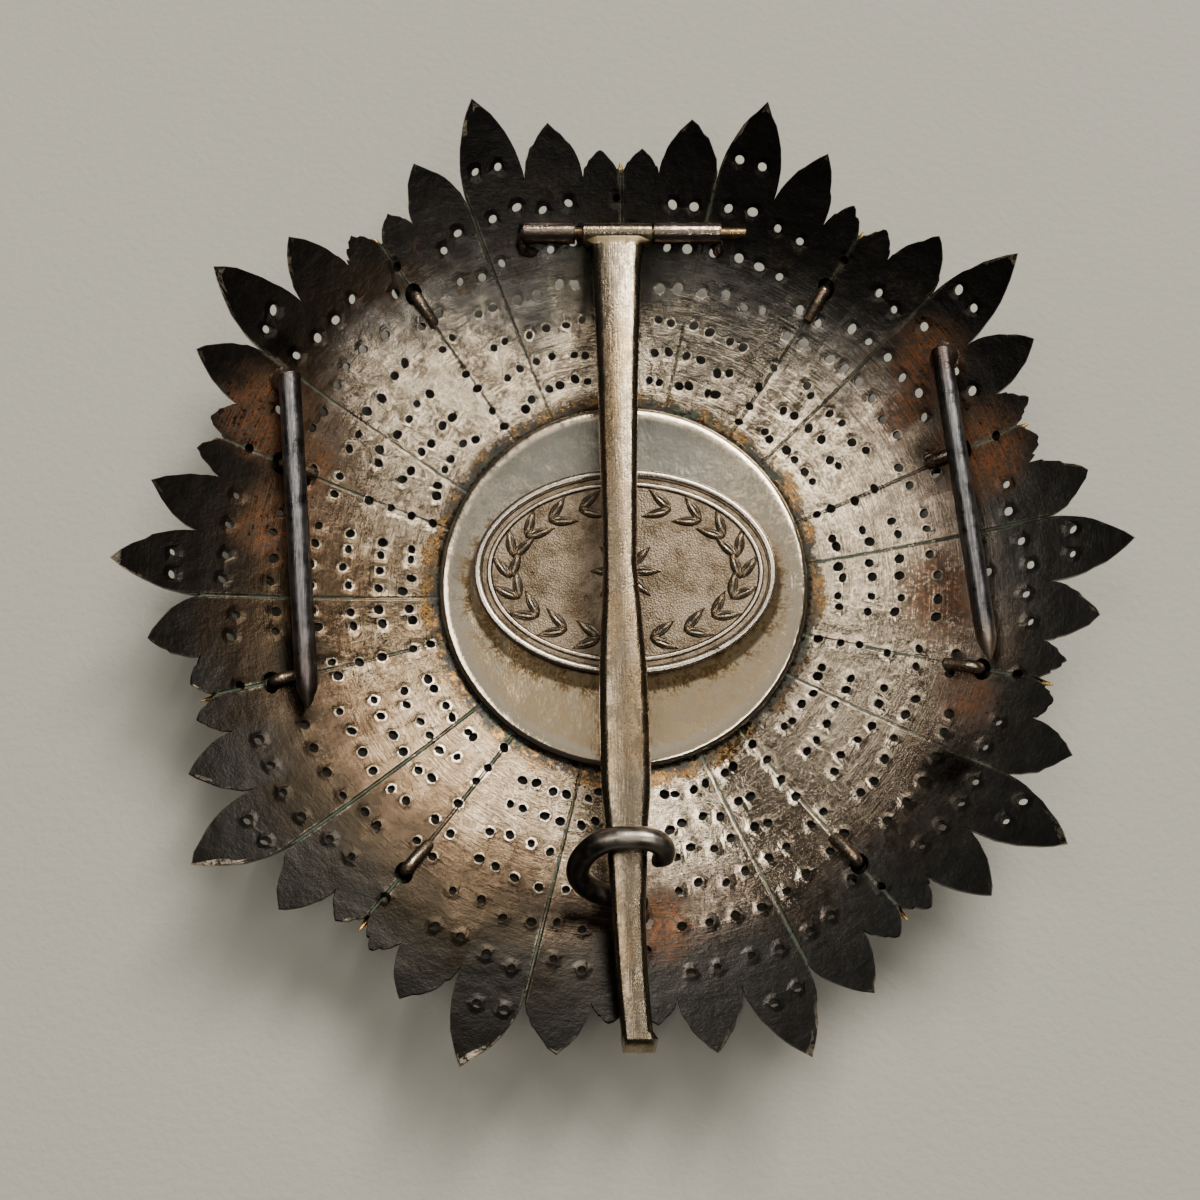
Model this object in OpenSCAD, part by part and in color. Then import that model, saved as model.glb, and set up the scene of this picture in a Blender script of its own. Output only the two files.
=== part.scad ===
// Silver breast star of ten groups of five rays, lying face down on the rim of its front medallion.
// +Y is the top of the star, +Z points out of its hollow back, and the origin is under its middle.

/* [Star plate] */
// Distance across the tips of two opposite main rays
star_d = 84; // [80:0.5:88]
// Radius of the ball that the hollow back follows
dish_r = 71; // [67:0.5:76]
// Thickness of the silver plate
wall_t = 0.9; // [0.7:0.05:1.1]
// Diameter of the pierced holes
hole_d = 0.9; // [0.7:0.05:1]

/* [Front medallion] */
// Radius of the medallion
medal_r = 17.2; // [15:0.1:19]
// Thickness at its middle, before the field is sunk
medal_t = 1.45; // [1.2:0.05:2]
// Width of the rim that the star rests on
medal_rim_w = 2.9; // [2:0.1:4]
// Depth of the sunk field
medal_sunk = 0.8; // [0.5:0.05:0.9]

/* [Back cover] */
// Radius of the round cover over the middle of the back
cover_r = 16.15; // [15:0.05:17]
// Thickness of its flat disc
cover_t = 0.6; // [0.4:0.05:0.65]
// Diameter of the bead round its edge
cover_bead_d = 0.95; // [0.85:0.05:1.2]
// Height of the bead above the flat disc
cover_bead_h = 0.2; // [0.1:0.05:0.25]

/* [Oval plaque] */
// Width of the oval plate
plaque_w = 26.4; // [24:0.1:28]
// Height of the oval plate
plaque_l = 18.4; // [16:0.1:20]
// Thickness of its ground
plaque_t = 0.45; // [0.3:0.05:0.7]
// Width of its outer rim
plaque_rim_w = 0.75; // [0.5:0.05:1]
// Height of its rims and relief above the ground
relief_h = 0.35; // [0.2:0.05:0.5]

/* [Hinge] */
// Outer diameter of the two bracket tubes and of the knuckle
tube_d = 1.9; // [1.7:0.05:2.2]
// Diameter of the rod through them
rod_d = 1; // [0.8:0.05:1.2]
// Thickness of the pad under each tube, where the tube is nearest the plate
pad_t = 0.5; // [0.3:0.05:0.8]
// Width of each pad across the tube
pad_w = 1.5; // [1.2:0.05:1.7]
// Length of the left tube
left_tube_l = 4.5; // [4:0.1:5]
// Length of the right tube
right_tube_l = 5.85; // [5:0.05:6.5]
// Length of the knuckle between them
knuckle_l = 6.05; // [5.5:0.05:6.5]
// Side gap between the left tube and the knuckle
left_gap = 0.67; // [0.1:0.01:0.9]
// Side gap between the right tube and the knuckle
right_gap = 0.12; // [0.1:0.01:0.5]
// Length of rod that stands out of the right tube
rod_stub = 2.15; // [1:0.05:3]

/* [Main pin] */
// Width that the table of its sections is measured in
pin_w = 4; // [3.6:0.05:4.4]
// Thickness of the bar
pin_t = 1.5; // [1.3:0.05:1.7]
// Width and depth of the bevel along its upper edges
pin_bevel = 0.45; // [0.3:0.05:0.5]
// Length of the bar past the rim of the plate
pin_past = 2.1; // [1.5:0.1:2.5]
// Height of the closed bar over the rim
pin_lift = 0.3; // [0.2:0.05:0.6]

/* [Catch hook] */
// Diameter of the wire
hook_d = 1.9; // [1.6:0.05:2.1]
// Radius of the wire's centre line in the bend over the free end
hook_end_r = 1.5; // [1.3:0.05:1.8]
// Radius of the wire's centre line in the bend beside the bar
hook_bend_r = 3.1; // [2.9:0.05:3.4]
// Length of the straight wire over the bar
hook_top_l = 2.3; // [2:0.05:2.6]
// Length of the straight wire under the bar
hook_leg_l = 3; // [2.8:0.1:3.5]
// Lean of the hook towards the top of the star, from upright
hook_lean = 44; // [40:0.5:48]
// Play between the closed bar and the wire over it
hook_play = 0.65; // [0.5:0.05:0.9]
// Gap between the free end of the wire and the edge of the bar
hook_side_gap = 0.12; // [0.1:0.01:0.4]

/* [Prongs] */
// Diameter of the left prong
left_prong_d = 1.9; // [1.6:0.05:2.1]
// Diameter of the right prong
right_prong_d = 1.75; // [1.6:0.05:2.1]
// Length of the left prong along the star
left_prong_l = 27.8; // [24:0.1:29]
// Length of the right prong along the star
right_prong_l = 26.4; // [24:0.1:28]
// Length of the cone at the point
point_l = 2; // [1.5:0.1:3]
// Height of each prong's centre line over the plate, at its root and at its point
prong_h = 2.3; // [1.8:0.05:2.8]

/* [Valley studs] */
// Diameter of the lug behind each stud
lug_d = 0.95; // [0.8:0.05:1.1]
// Diameter of the hole that a lug passes through
lug_hole_d = 1.9; // [1.7:0.05:2.2]
// Length of the lug that is bent over on the back
lug_l = 2.6; // [2:0.1:3.2]
// Length of the drop on the front
drop_l = 10; // [8:0.1:10.5]
// Greatest width of the drop
drop_w = 2.4; // [1.8:0.1:3]

/* [Fits] */
// Gap between pieces that are soldered or seated on each other
seat_gap = 0.05; // [0.03:0.01:0.1]
// Radial gap of the hinge rod in the tubes and the knuckle
running_gap = 0.03; // [0.02:0.01:0.06]
// Diameter of the pegs that hold the hook and the prongs in the plate
peg_d = 1.2; // [1:0.05:1.5]

/* [Hidden] */

// The groups of rays as the maker set them: clockwise angle of the axis from the top, and reach of the tips
GROUPS = [
  [17.5, 1.004],
  [52, 1.003],
  [87.5, 0.994],
  [123.5, 0.997],
  [160.5, 1],
  [197.5, 1.004],
  [234, 1.002],
  [270.5, 0.994],
  [305.5, 1.016],
  [341.5, 1]
];
// The rays of one group: left notch, tip and right notch in degrees from its axis, and tip radius as a share
RAYS = [
  [-18, -15.3, -12.6, 0.886],
  [-12.6, -9, -4.4, 0.943],
  [-4.4, 0, 4.4, 1],
  [4.4, 9, 12.6, 0.943],
  [12.6, 15.3, 18, 0.886]
];
// The rows of holes in one group: radius as a share, and the places in degrees from its axis
HOLE_ROWS = [
  [0.886, [-1.6, 1.6]],
  [0.798, [-10.4, -6.8, -1.85, 1.85, 6.3, 10.1]],
  [0.796, [18]],
  [0.717, [-2.2, 2]]
];
// The main pin's sections: place along the bar as a share, and left and right edges in pin widths
PIN_SECTIONS = [
  [0.005, -0.72, 0.73],
  [0.013, -0.7, 0.72],
  [0.021, -0.58, 0.54],
  [0.045, -0.54, 0.5],
  [0.096, -0.51, 0.49],
  [0.2, -0.43, 0.43],
  [0.33, -0.37, 0.4],
  [0.433, -0.32, 0.38],
  [0.503, -0.36, 0.5],
  [0.561, -0.4, 0.585],
  [0.623, -0.39, 0.63],
  [0.702, -0.36, 0.65],
  [0.737, -0.285, 0.59],
  [0.798, -0.21, 0.56],
  [0.842, -0.17, 0.51],
  [0.916, -0.075, 0.565],
  [0.975, 0.02, 0.645],
  [0.984, 0.02, 0.75],
  [1, 0.05, 0.7]
];
left_edge = 1;
right_edge = 2;

// Places on the plate, as shares of the main rays' radius
notch_at = 0.84;
rim_at = 0.886;
hinge_at = 0.712;
lug_at = 0.738;
prong_at = 0.8;
// Places round the plate, clockwise from the top, and headings of the two prongs
left_prong_angle = 299.2;
right_prong_angle = 55.9;
left_prong_heading = 175.5;
right_prong_heading = 173.2;

star_r = star_d / 2;
ball_z = medal_t + seat_gap + wall_t + dish_r;
front_r = dish_r + wall_t;
groups = len(GROUPS);
pitch = 360 / groups;
flank_steps = 5;
flank_bow = 1.9;
cut_past = 1;

// The rays' nominal angles and the angles and reaches that the maker gave them
WARP = [
  for (g = [-1:groups]) let (made = GROUPS[(g + groups) % groups])
    [pitch * (g + 0.5), made[0] + 360 * floor(g / groups)]
];
REACH = [for (g = [-1:groups]) [pitch * (g + 0.5), GROUPS[(g + groups) % groups][1]]];
function made_angle(nominal) = lookup(nominal, WARP);
function spot(nominal, r) = [
  r * lookup(nominal, REACH) * sin(made_angle(nominal)),
  r * lookup(nominal, REACH) * cos(made_angle(nominal))
];
function wall_z(r) = ball_z - sqrt(dish_r * dish_r - r * r);

// The point on the plate under a point in space: its angle, its radius and the height over it
function foot_of(p) = let (d = norm(p - [0, 0, ball_z])) [
  atan2(p.x, p.y),
  norm([p.x, p.y]) * dish_r / d,
  dish_r - d
];
// The point at a height over a place on the plate
function over_wall(angle, r, h) = let (share = (dish_r - h) / dish_r) [
  r * share * sin(angle),
  r * share * cos(angle),
  ball_z - sqrt(dish_r * dish_r - r * r) * share
];

// The flanks bow outwards from each notch to the tip
function ray_point(axis, notch, tip, reach, t) = let (
  r = notch_at * star_r + (reach - notch_at) * star_r * t,
  nominal = axis + tip + (notch - tip) * (1 - pow(t, flank_bow))
) spot(nominal, r);
function ray_outline(axis, ray) = concat(
  [for (i = [0:flank_steps]) ray_point(axis, ray[0], ray[1], ray[3], i / flank_steps)],
  [for (i = [flank_steps - 1:-1:1]) ray_point(axis, ray[2], ray[1], ray[3], i / flank_steps)]
);
outline = [for (g = [0:groups - 1]) for (ray = RAYS) each ray_outline(pitch * (g + 0.5), ray)];

// The hinge axis lies along X, as low over the plate as the farther tube end allows
knuckle_x = -0.6;
left_tube_x = knuckle_x - knuckle_l / 2 - left_gap - left_tube_l;
right_tube_x = knuckle_x + knuckle_l / 2 + right_gap;
rod_end_x = right_tube_x + right_tube_l + rod_stub;
tube_reach = max(-left_tube_x, right_tube_x + right_tube_l);
hinge_h = dish_r - sqrt(pow(dish_r - tube_d / 2 - pad_t - seat_gap, 2) - pow(tube_reach, 2));
hinge_y = hinge_at * star_r;
hinge_tilt = asin(hinge_y / (dish_r - hinge_h));
hinge_z = ball_z - (dish_r - hinge_h) * cos(hinge_tilt);
bore_d = rod_d + 2 * running_gap;

// The closed bar rises from the hinge to clear the rim of the plate
rim_r = rim_at * star_r;
pin_l = hinge_y + rim_r + pin_past;
pin_rise = atan((wall_z(rim_r) + pin_lift + pin_t / 2 - hinge_z) / (hinge_y + rim_r));
function bar_x(share, edge) = knuckle_x + pin_w * lookup(share, [for (s = PIN_SECTIONS) [s[0], s[edge]]]);

// The hook stands over the bar, and its free end clears the bar's right edge
hook_at = 0.763;
hook_end_angle = 25;
hook_bend_angle = 160;
hook_up = pin_t / 2 + hook_play + hook_d / 2;
hook_y = hinge_y - hook_at * pin_l * cos(pin_rise) + hook_up * sin(pin_rise);
hook_z = hinge_z + hook_at * pin_l * sin(pin_rise) + hook_up * cos(pin_rise);
hook_end_x = bar_x(hook_at, right_edge) + hook_side_gap + hook_d / 2 - hook_end_r * cos(hook_end_angle);
hook_bend_x = hook_end_x - hook_top_l;
hook_leg_angle = 90 + hook_bend_angle;
function hook_point(u, v) = [u, hook_y + v * sin(hook_lean), hook_z + v * cos(hook_lean)];
function on_bend(x, r, angle) = hook_point(x + r * cos(angle), -r + r * sin(angle));
function on_leg(l) = let (a = hook_leg_angle) hook_point(
  hook_bend_x + hook_bend_r * cos(a) - l * sin(a),
  -hook_bend_r + hook_bend_r * sin(a) + l * cos(a)
);
function on_end(l) = let (a = -hook_end_angle) on_bend(hook_end_x, hook_end_r, a)
  + l * (hook_point(sin(a), -cos(a)) - hook_point(0, 0));
hook_foot = on_leg(hook_leg_l);
hook_seat = foot_of(hook_foot);
// A wire's path is a list of places on its centre line, each with the wire's radius there
elbow_l = 0.85;
elbow_swell = 1.1;
function foot_path(angle, r, h, d) = [
  [over_wall(angle, r, h), d / 2 * elbow_swell],
  [over_wall(angle, r, h - elbow_l), d / 2],
  [over_wall(angle, r, seat_gap), d / 2],
  [over_wall(angle, r, seat_gap), peg_d / 2],
  [over_wall(angle, r, -wall_t), peg_d / 2]
];
hook_path = concat(
  [for (a = [80, 50, 25]) [on_end(hook_d / 2 * sin(a)), hook_d / 2 * cos(a)]],
  [for (a = [-hook_end_angle:(90 + hook_end_angle) / 5:91]) [on_bend(hook_end_x, hook_end_r, a), hook_d / 2]],
  [for (a = [90:hook_bend_angle / 8:hook_leg_angle + 1]) [on_bend(hook_bend_x, hook_bend_r, a), hook_d / 2]],
  [[on_leg(hook_leg_l - elbow_l), hook_d / 2]],
  foot_path(hook_seat[0], hook_seat[1], hook_seat[2], hook_d)
);
wire_sides = 16;
function unit(v) = v / norm(v);
function wire_ring(path, i, square_to) = let (
  along = unit(path[min(i + 1, len(path) - 1)][0] - path[max(i - 1, 0)][0]),
  side = unit(cross(along, square_to)),
  up = cross(side, along)
) [
  for (j = [0:wire_sides - 1]) let (a = 360 * j / wire_sides)
    path[i][0] + path[i][1] * (cos(a) * side + sin(a) * up)
];

// The prongs run straight from an elbow over the root to a point over the plate
prong_r = prong_at * star_r;
function prong_start(angle) = over_wall(angle, prong_r, prong_h);
function prong_tip(angle, heading, length) = let (
  x = prong_start(angle).x + length * sin(heading),
  y = prong_start(angle).y + length * cos(heading)
) [x, y, wall_z(norm([x, y])) + prong_h];
point_share = 0.1;

// Places of the pegs, as angle and radius
PEGS = [
  [hook_seat[0], hook_seat[1]],
  [left_prong_angle, prong_r],
  [right_prong_angle, prong_r]
];
function flat_place(angle, r) = [r * sin(angle), r * cos(angle)];
function is_free(angle, r) = min([
  for (peg = PEGS) norm(flat_place(angle, r) - flat_place(peg[0], peg[1]))
]) > peg_d / 2 + hole_d;

// The two studs under the hinge and the hook have a lug filed off flush
lug_r = lug_at * star_r;
function is_bent(k) = k % (groups / 2) != 0;

// Oval rings and the wreath of the plaque
plaque_x = 0.1;
plaque_y = 0.97;
oval_steps = 72;
ring_gap = 0.45;
ring_w = 0.35;
leaf_pairs = 9;
leaf_l = 2.7;
leaf_w = 0.95;
leaf_lean = 28;
leaf_steps = 6;
branch_from = -78;
branch_to = 66;
petals = 8;
petal_at = 1.8;
ring_in = plaque_rim_w + ring_gap + ring_w;
branch_w = plaque_w / 2 - ring_in - 0.6 * leaf_l;
branch_l = plaque_l / 2 - ring_in - 0.6 * leaf_l;
cover_z = wall_z(cover_r) + seat_gap;
plaque_z = cover_z + cover_bead_d - cover_bead_h + seat_gap;
function oval(inset) = [
  for (i = [0:oval_steps - 1]) let (a = 360 * i / oval_steps) [
    (plaque_w / 2 - inset) * cos(a),
    (plaque_l / 2 - inset) * sin(a)
  ]
];
leaf = [
  for (side = [1, -1]) for (i = [0:leaf_steps - 1]) let (t = side > 0 ? i / leaf_steps : 1 - i / leaf_steps)
    [leaf_l * (t - 0.5), side * leaf_w / 2 * sin(180 * pow(t, 0.8))]
];

$fn = 48;
ball_fn = 200;

// Puts children on the hollow back: their +Z is square to the plate and their +Y points outwards
module on_wall(angle, r) {
  rotate([0, 0, -angle])
    translate([0, 0, ball_z])
      rotate([asin(r / dish_r), 0, 0])
        translate([0, 0, -dish_r])
          children();
}

module ball(r) {
  translate([0, 0, ball_z]) sphere(r = r, $fn = ball_fn);
}

module through_wall(d) {
  translate([0, 0, -wall_t - cut_past]) cylinder(d = d, h = wall_t + 2 * cut_past, $fn = 24);
}

// A round wire swept along a path; its bends lie square to the given direction
module swept_wire(path, square_to) {
  last = wire_sides * (len(path) - 1);
  polyhedron(
    [for (i = [0:len(path) - 1]) each wire_ring(path, i, square_to)],
    concat(
      [for (row = [0:len(path) - 2], j = [0:wire_sides - 1]) let (
        a = wire_sides * row + j,
        b = wire_sides * row + (j + 1) % wire_sides
      ) each [[a, b, a + wire_sides], [b, b + wire_sides, a + wire_sides]]],
      [[for (j = [wire_sides - 1:-1:0]) j]],
      [[for (j = [0:wire_sides - 1]) last + j]]
    )
  );
}

module star_plate() {
  color("#b7b2ab")
    difference() {
      intersection() {
        linear_extrude(ball_z / 2) polygon(outline);
        difference() {
          ball(front_r);
          ball(dish_r);
        }
      }
      for (g = [0:groups - 1], row = HOLE_ROWS, place = row[1]) {
        angle = made_angle(pitch * (g + 0.5) + place);
        if (is_free(angle, row[0] * star_r)) on_wall(angle, row[0] * star_r) through_wall(hole_d);
      }
      for (k = [0:groups - 1])
        on_wall(made_angle(pitch * k), lug_r) through_wall(is_bent(k) ? lug_hole_d : lug_d + 2 * seat_gap);
      for (peg = PEGS) on_wall(peg[0], peg[1]) through_wall(peg_d + 2 * seat_gap);
    }
}

module medallion() {
  color("#c4beb4")
    difference() {
      cylinder(r = medal_r, h = wall_z(medal_r), $fn = 96);
      ball(front_r + seat_gap);
      translate([0, 0, -cut_past]) cylinder(r = medal_r - medal_rim_w, h = cut_past + medal_sunk, $fn = 96);
    }
}

module back_cover() {
  color("#d6d2ca")
    translate([0, 0, cover_z])
      rotate_extrude($fn = 96) {
        translate([0, cover_bead_d - cover_bead_h - cover_t]) square([cover_r - cover_bead_d / 2, cover_t]);
        translate([cover_r - cover_bead_d / 2, cover_bead_d / 2]) circle(d = cover_bead_d, $fn = 32);
      }
}

module relief() {
  translate([0, 0, plaque_t / 2]) linear_extrude(plaque_t / 2 + relief_h) children();
}

// Leaves in pairs along both branches of an open wreath, round a rosette
module wreath() {
  for (side = [0, 1], i = [0:leaf_pairs - 1], lean = [-leaf_lean, leaf_lean]) {
    a = branch_from + (branch_to - branch_from) * i / (leaf_pairs - 1);
    mirror([side, 0, 0])
      translate([branch_w * cos(a), branch_l * sin(a), 0])
        rotate([0, 0, atan2(branch_l * cos(a), -branch_w * sin(a)) + lean])
          translate([leaf_l / 2, 0, 0]) relief() polygon(leaf);
  }
  for (i = [0:petals - 1])
    rotate([0, 0, 360 * i / petals])
      translate([petal_at, 0, 0]) relief() polygon(leaf);
  relief() circle(d = leaf_w, $fn = 24);
}

module oval_plaque() {
  color("#8f8478")
    translate([plaque_x, plaque_y, plaque_z]) {
      difference() {
        linear_extrude(plaque_t + relief_h) polygon(oval(0));
        translate([0, 0, plaque_t]) linear_extrude(relief_h + cut_past) polygon(oval(plaque_rim_w));
      }
      relief() difference() {
        polygon(oval(plaque_rim_w + ring_gap));
        polygon(oval(plaque_rim_w + ring_gap + ring_w));
      }
      wreath();
    }
}

// Puts children on the hinge axis, with +Z square to the plate under it
module on_hinge() {
  translate([0, hinge_y, hinge_z]) rotate([hinge_tilt, 0, 0]) children();
}

module along_x(x, length, d) {
  translate([x, 0, 0]) rotate([0, 90, 0]) cylinder(d = d, h = length);
}

module along_y(y, length, d1, d2) {
  translate([0, y, 0]) rotate([-90, 0, 0]) cylinder(d1 = d1, d2 = d2, h = length);
}

module hinge_bracket(x, length) {
  difference() {
    intersection() {
      on_hinge() {
        along_x(x, length, tube_d);
        translate([x, -pad_w / 2, -hinge_h]) cube([length, pad_w, hinge_h]);
      }
      ball(dish_r - seat_gap);
    }
    on_hinge() along_x(x - cut_past, length + 2 * cut_past, bore_d);
  }
}

module hinge_bracket_left() {
  color("#9b948a") hinge_bracket(left_tube_x, left_tube_l);
}

module hinge_bracket_right() {
  color("#9b948a") hinge_bracket(right_tube_x, right_tube_l);
}

module hinge_rod() {
  color("#77706a") on_hinge() along_x(left_tube_x, rod_end_x - left_tube_x, rod_d);
}

// One section of the bar at a share of its length, with its upper edges bevelled
function bar_section(s) = let (
  y = -s[0] * pin_l,
  left = knuckle_x + pin_w * s[left_edge],
  right = knuckle_x + pin_w * s[right_edge],
  top = pin_t / 2
) [
  [left, y, -top],
  [left, y, top - pin_bevel],
  [left + pin_bevel, y, top],
  [right - pin_bevel, y, top],
  [right, y, top - pin_bevel],
  [right, y, -top]
];
corners = 6;
bar_points = [for (s = PIN_SECTIONS) each bar_section(s)];
bar_last = corners * (len(PIN_SECTIONS) - 1);
bar_sides = [
  for (row = [0:len(PIN_SECTIONS) - 2], i = [0:corners - 1]) let (
    a = corners * row + i,
    b = corners * row + (i + 1) % corners
  ) each [[a, b, a + corners], [b, b + corners, a + corners]]
];
bar_ends = [
  [for (i = [corners - 1:-1:0]) i],
  [for (i = [0:corners - 1]) bar_last + i]
];

module main_pin() {
  color("#b9aa93")
    translate([0, hinge_y, hinge_z])
      rotate([-pin_rise, 0, 0])
        difference() {
          union() {
            along_x(knuckle_x - knuckle_l / 2, knuckle_l, tube_d);
            polyhedron(bar_points, concat(bar_sides, bar_ends));
          }
          along_x(knuckle_x - knuckle_l, 2 * knuckle_l, bore_d);
        }
}

module catch_hook() {
  color("#6f6861") swept_wire(hook_path, [0, -cos(hook_lean), sin(hook_lean)]);
}

module prong(angle, heading, length, d) {
  start = prong_start(angle);
  tip = prong_tip(angle, heading, length);
  back = unit(tip - start);
  path = concat(
    [[tip, d / 2 * point_share], [tip - point_l * back, d / 2], [start + elbow_l * back, d / 2]],
    foot_path(angle, prong_r, prong_h, d)
  );
  swept_wire(path, cross(back, over_wall(angle, prong_r, 1) - over_wall(angle, prong_r, 0)));
}

module prong_left() {
  color("#5d5a58") prong(left_prong_angle, left_prong_heading, left_prong_l, left_prong_d);
}

module prong_right() {
  color("#5d5a58") prong(right_prong_angle, right_prong_heading, right_prong_l, right_prong_d);
}

// A drop on the front in the valley, and its lug through the plate, bent inwards where it is free
module valley_stud(k) {
  lug_in = lug_hole_d / 2 - lug_d / 2 - seat_gap;
  lug_z = lug_d / 2 + 3 * seat_gap;
  belly = drop_l * 0.42;
  color("#c79a4a") {
    difference() {
      on_wall(made_angle(pitch * k), lug_r) {
        translate([0, 0, -wall_t]) {
          along_y(-belly, belly, drop_w / 8, drop_w);
          along_y(0, drop_l - belly, drop_w, drop_w / 8);
        }
      }
      ball(front_r + seat_gap);
    }
    on_wall(made_angle(pitch * k), lug_r) {
      if (is_bent(k)) {
        translate([0, -lug_in, -wall_t - drop_w / 4]) cylinder(d = lug_d, h = wall_t + drop_w / 4 + lug_z);
        translate([0, -lug_in, lug_z]) sphere(d = lug_d);
        translate([0, -lug_in, lug_z]) along_y(-lug_l, lug_l, lug_d, lug_d);
        translate([0, -lug_in - lug_l, lug_z]) sphere(d = lug_d);
      } else {
        translate([0, 0, -wall_t - drop_w / 4]) cylinder(d = lug_d, h = wall_t + drop_w / 4);
      }
    }
  }
}

star_plate();
medallion();
back_cover();
oval_plaque();
hinge_bracket_left();
hinge_bracket_right();
hinge_rod();
main_pin();
catch_hook();
prong_left();
prong_right();
valley_stud(0);  // valley_stud_01
valley_stud(1);  // valley_stud_02
valley_stud(2);  // valley_stud_03
valley_stud(3);  // valley_stud_04
valley_stud(4);  // valley_stud_05
valley_stud(5);  // valley_stud_06
valley_stud(6);  // valley_stud_07
valley_stud(7);  // valley_stud_08
valley_stud(8);  // valley_stud_09
valley_stud(9);  // valley_stud_10
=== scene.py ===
import math
import random

import bmesh
import bpy
from mathutils import Matrix, Vector, kdtree, noise


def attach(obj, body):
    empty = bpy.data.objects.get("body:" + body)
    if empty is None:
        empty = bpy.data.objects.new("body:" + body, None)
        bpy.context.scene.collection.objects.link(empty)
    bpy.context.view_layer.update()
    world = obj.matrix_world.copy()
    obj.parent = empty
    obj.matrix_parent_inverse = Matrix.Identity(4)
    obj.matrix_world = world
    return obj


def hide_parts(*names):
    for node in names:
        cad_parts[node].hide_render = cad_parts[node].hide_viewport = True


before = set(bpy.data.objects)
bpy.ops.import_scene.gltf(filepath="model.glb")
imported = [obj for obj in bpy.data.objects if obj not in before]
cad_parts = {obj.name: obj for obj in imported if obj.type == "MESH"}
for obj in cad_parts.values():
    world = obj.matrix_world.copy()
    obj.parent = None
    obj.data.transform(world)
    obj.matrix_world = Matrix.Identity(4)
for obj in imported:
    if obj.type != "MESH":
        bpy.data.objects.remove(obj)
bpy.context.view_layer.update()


# The star plate: silver sheet sawn into ten groups of five pointed rays, raised to a bowl and drilled.
# The groups are soldered to each other along the valleys and beside each main ray. The rays have toned
# blue-black and brown, and the bowl, rubbed by the coat, still shows the burnisher's marks.
MM = 0.001
BOWL_R = 71.0
WALL = 0.9
BALL_Z = 73.4
GROUPS = (
    (17.5, 1.004), (52.0, 1.003), (87.5, 0.994), (123.5, 0.997), (160.5, 1.0),
    (197.5, 1.004), (234.0, 1.002), (270.5, 0.994), (305.5, 1.016), (341.5, 1.0),
)
PITCH = 360 / len(GROUPS)
# Left notch, tip and right notch of each ray in degrees from the group's axis, and the tip's radius
RAYS = (
    (-18.0, -15.3, -12.6, 37.2),
    (-12.6, -9.0, -4.4, 39.6),
    (-4.4, 0.0, 4.4, 42.0),
    (4.4, 9.0, 12.6, 39.6),
    (12.6, 15.3, 18.0, 37.2),
)
SEAMS = (-18.0, -4.4, 18.0)
NOTCH_R = 35.3
FLANK_STEPS = 9
FLANK_BOWS = {37.2: 1.55, 39.6: 1.85, 42.0: 2.0}
TIP_BLUNT = 0.06
FIRST_RING = 15.5
RING_GAP = 0.917
BACK_RINGS = [0.0, 14.5] + [FIRST_RING + RING_GAP * k for k in range(22)]
RAY_SHARES = (0.12, 0.3, 0.48, 0.66, 0.82, 0.93, 1.0)
FRONT_SHARES = (0.66, 0.33)
FRONT_RINGS = (34.0, 30.5, 26.5, 22.0, 16.5, 9.0, 0.0)
EDGE = 0.14
# Height and size of each wave of the dents that the hammer left
SHEET_DENTS = ((0.05, 4.5), (0.02, 1.4))
# The solder in the seams: its height, its width, the least and most radius at which it shows, and lumps
SOLDER_H = 0.05
SOLDER_W = 0.3
SOLDER_SPAN = (16.0, 36.0)
SOLDER_LUMPS = ((0.6, 0.8),)
# How far the sawyer's hand strays: the notches' and the tips' radius, the tips' angle, the bow of a
# flank, and the steps along it, of which a few are nicked
NOTCH_STRAY = 0.22
REACH_STRAY = 0.2
TIP_STRAY = 0.25
BOW_STRAY = 0.12
STEP_STRAY = 0.06
NICK = 0.18
NICK_SHARE = 0.08
# Middle and spread of the height by which a ray was bent up or down
RAY_LIFT = (-0.2, 0.1)


def spread(nominal, column):
    """The maker's own angle (column 0) or reach (column 1) at a nominal angle round the star."""
    place = nominal / PITCH - 0.5
    low = math.floor(place)
    ends = []
    for g in (low, low + 1):
        turns, index = divmod(g, len(GROUPS))
        ends.append(GROUPS[index][column] + (360 * turns if column == 0 else 0))
    return ends[0] + (ends[1] - ends[0]) * (place - low)


def nominal_at(angle):
    """The nominal angle that the maker's own angle stands for."""
    angle = (angle - GROUPS[0][0]) % 360 + GROUPS[0][0]
    low = max(g for g in range(len(GROUPS)) if GROUPS[g][0] <= angle)
    start = PITCH * (low + 0.5)
    ends = (spread(start, 0), spread(start + PITCH, 0))
    return start + PITCH * (angle - ends[0]) / (ends[1] - ends[0])


def bowl_z(r, below=0.0):
    """Height of the bowl at a radius, or of the ball that lies below its surface by some depth."""
    return BALL_Z - math.sqrt((BOWL_R + below) ** 2 - r * r)


def on_bowl(angle, r, height=0.0):
    """A place over the bowl, square to it, at a clockwise angle from the top of the star."""
    share = (BOWL_R - height) / BOWL_R
    turn = math.radians(angle)
    depth = math.sqrt(BOWL_R ** 2 - r * r)
    return Vector((r * share * math.sin(turn), r * share * math.cos(turn), BALL_Z - depth * share))


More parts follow.
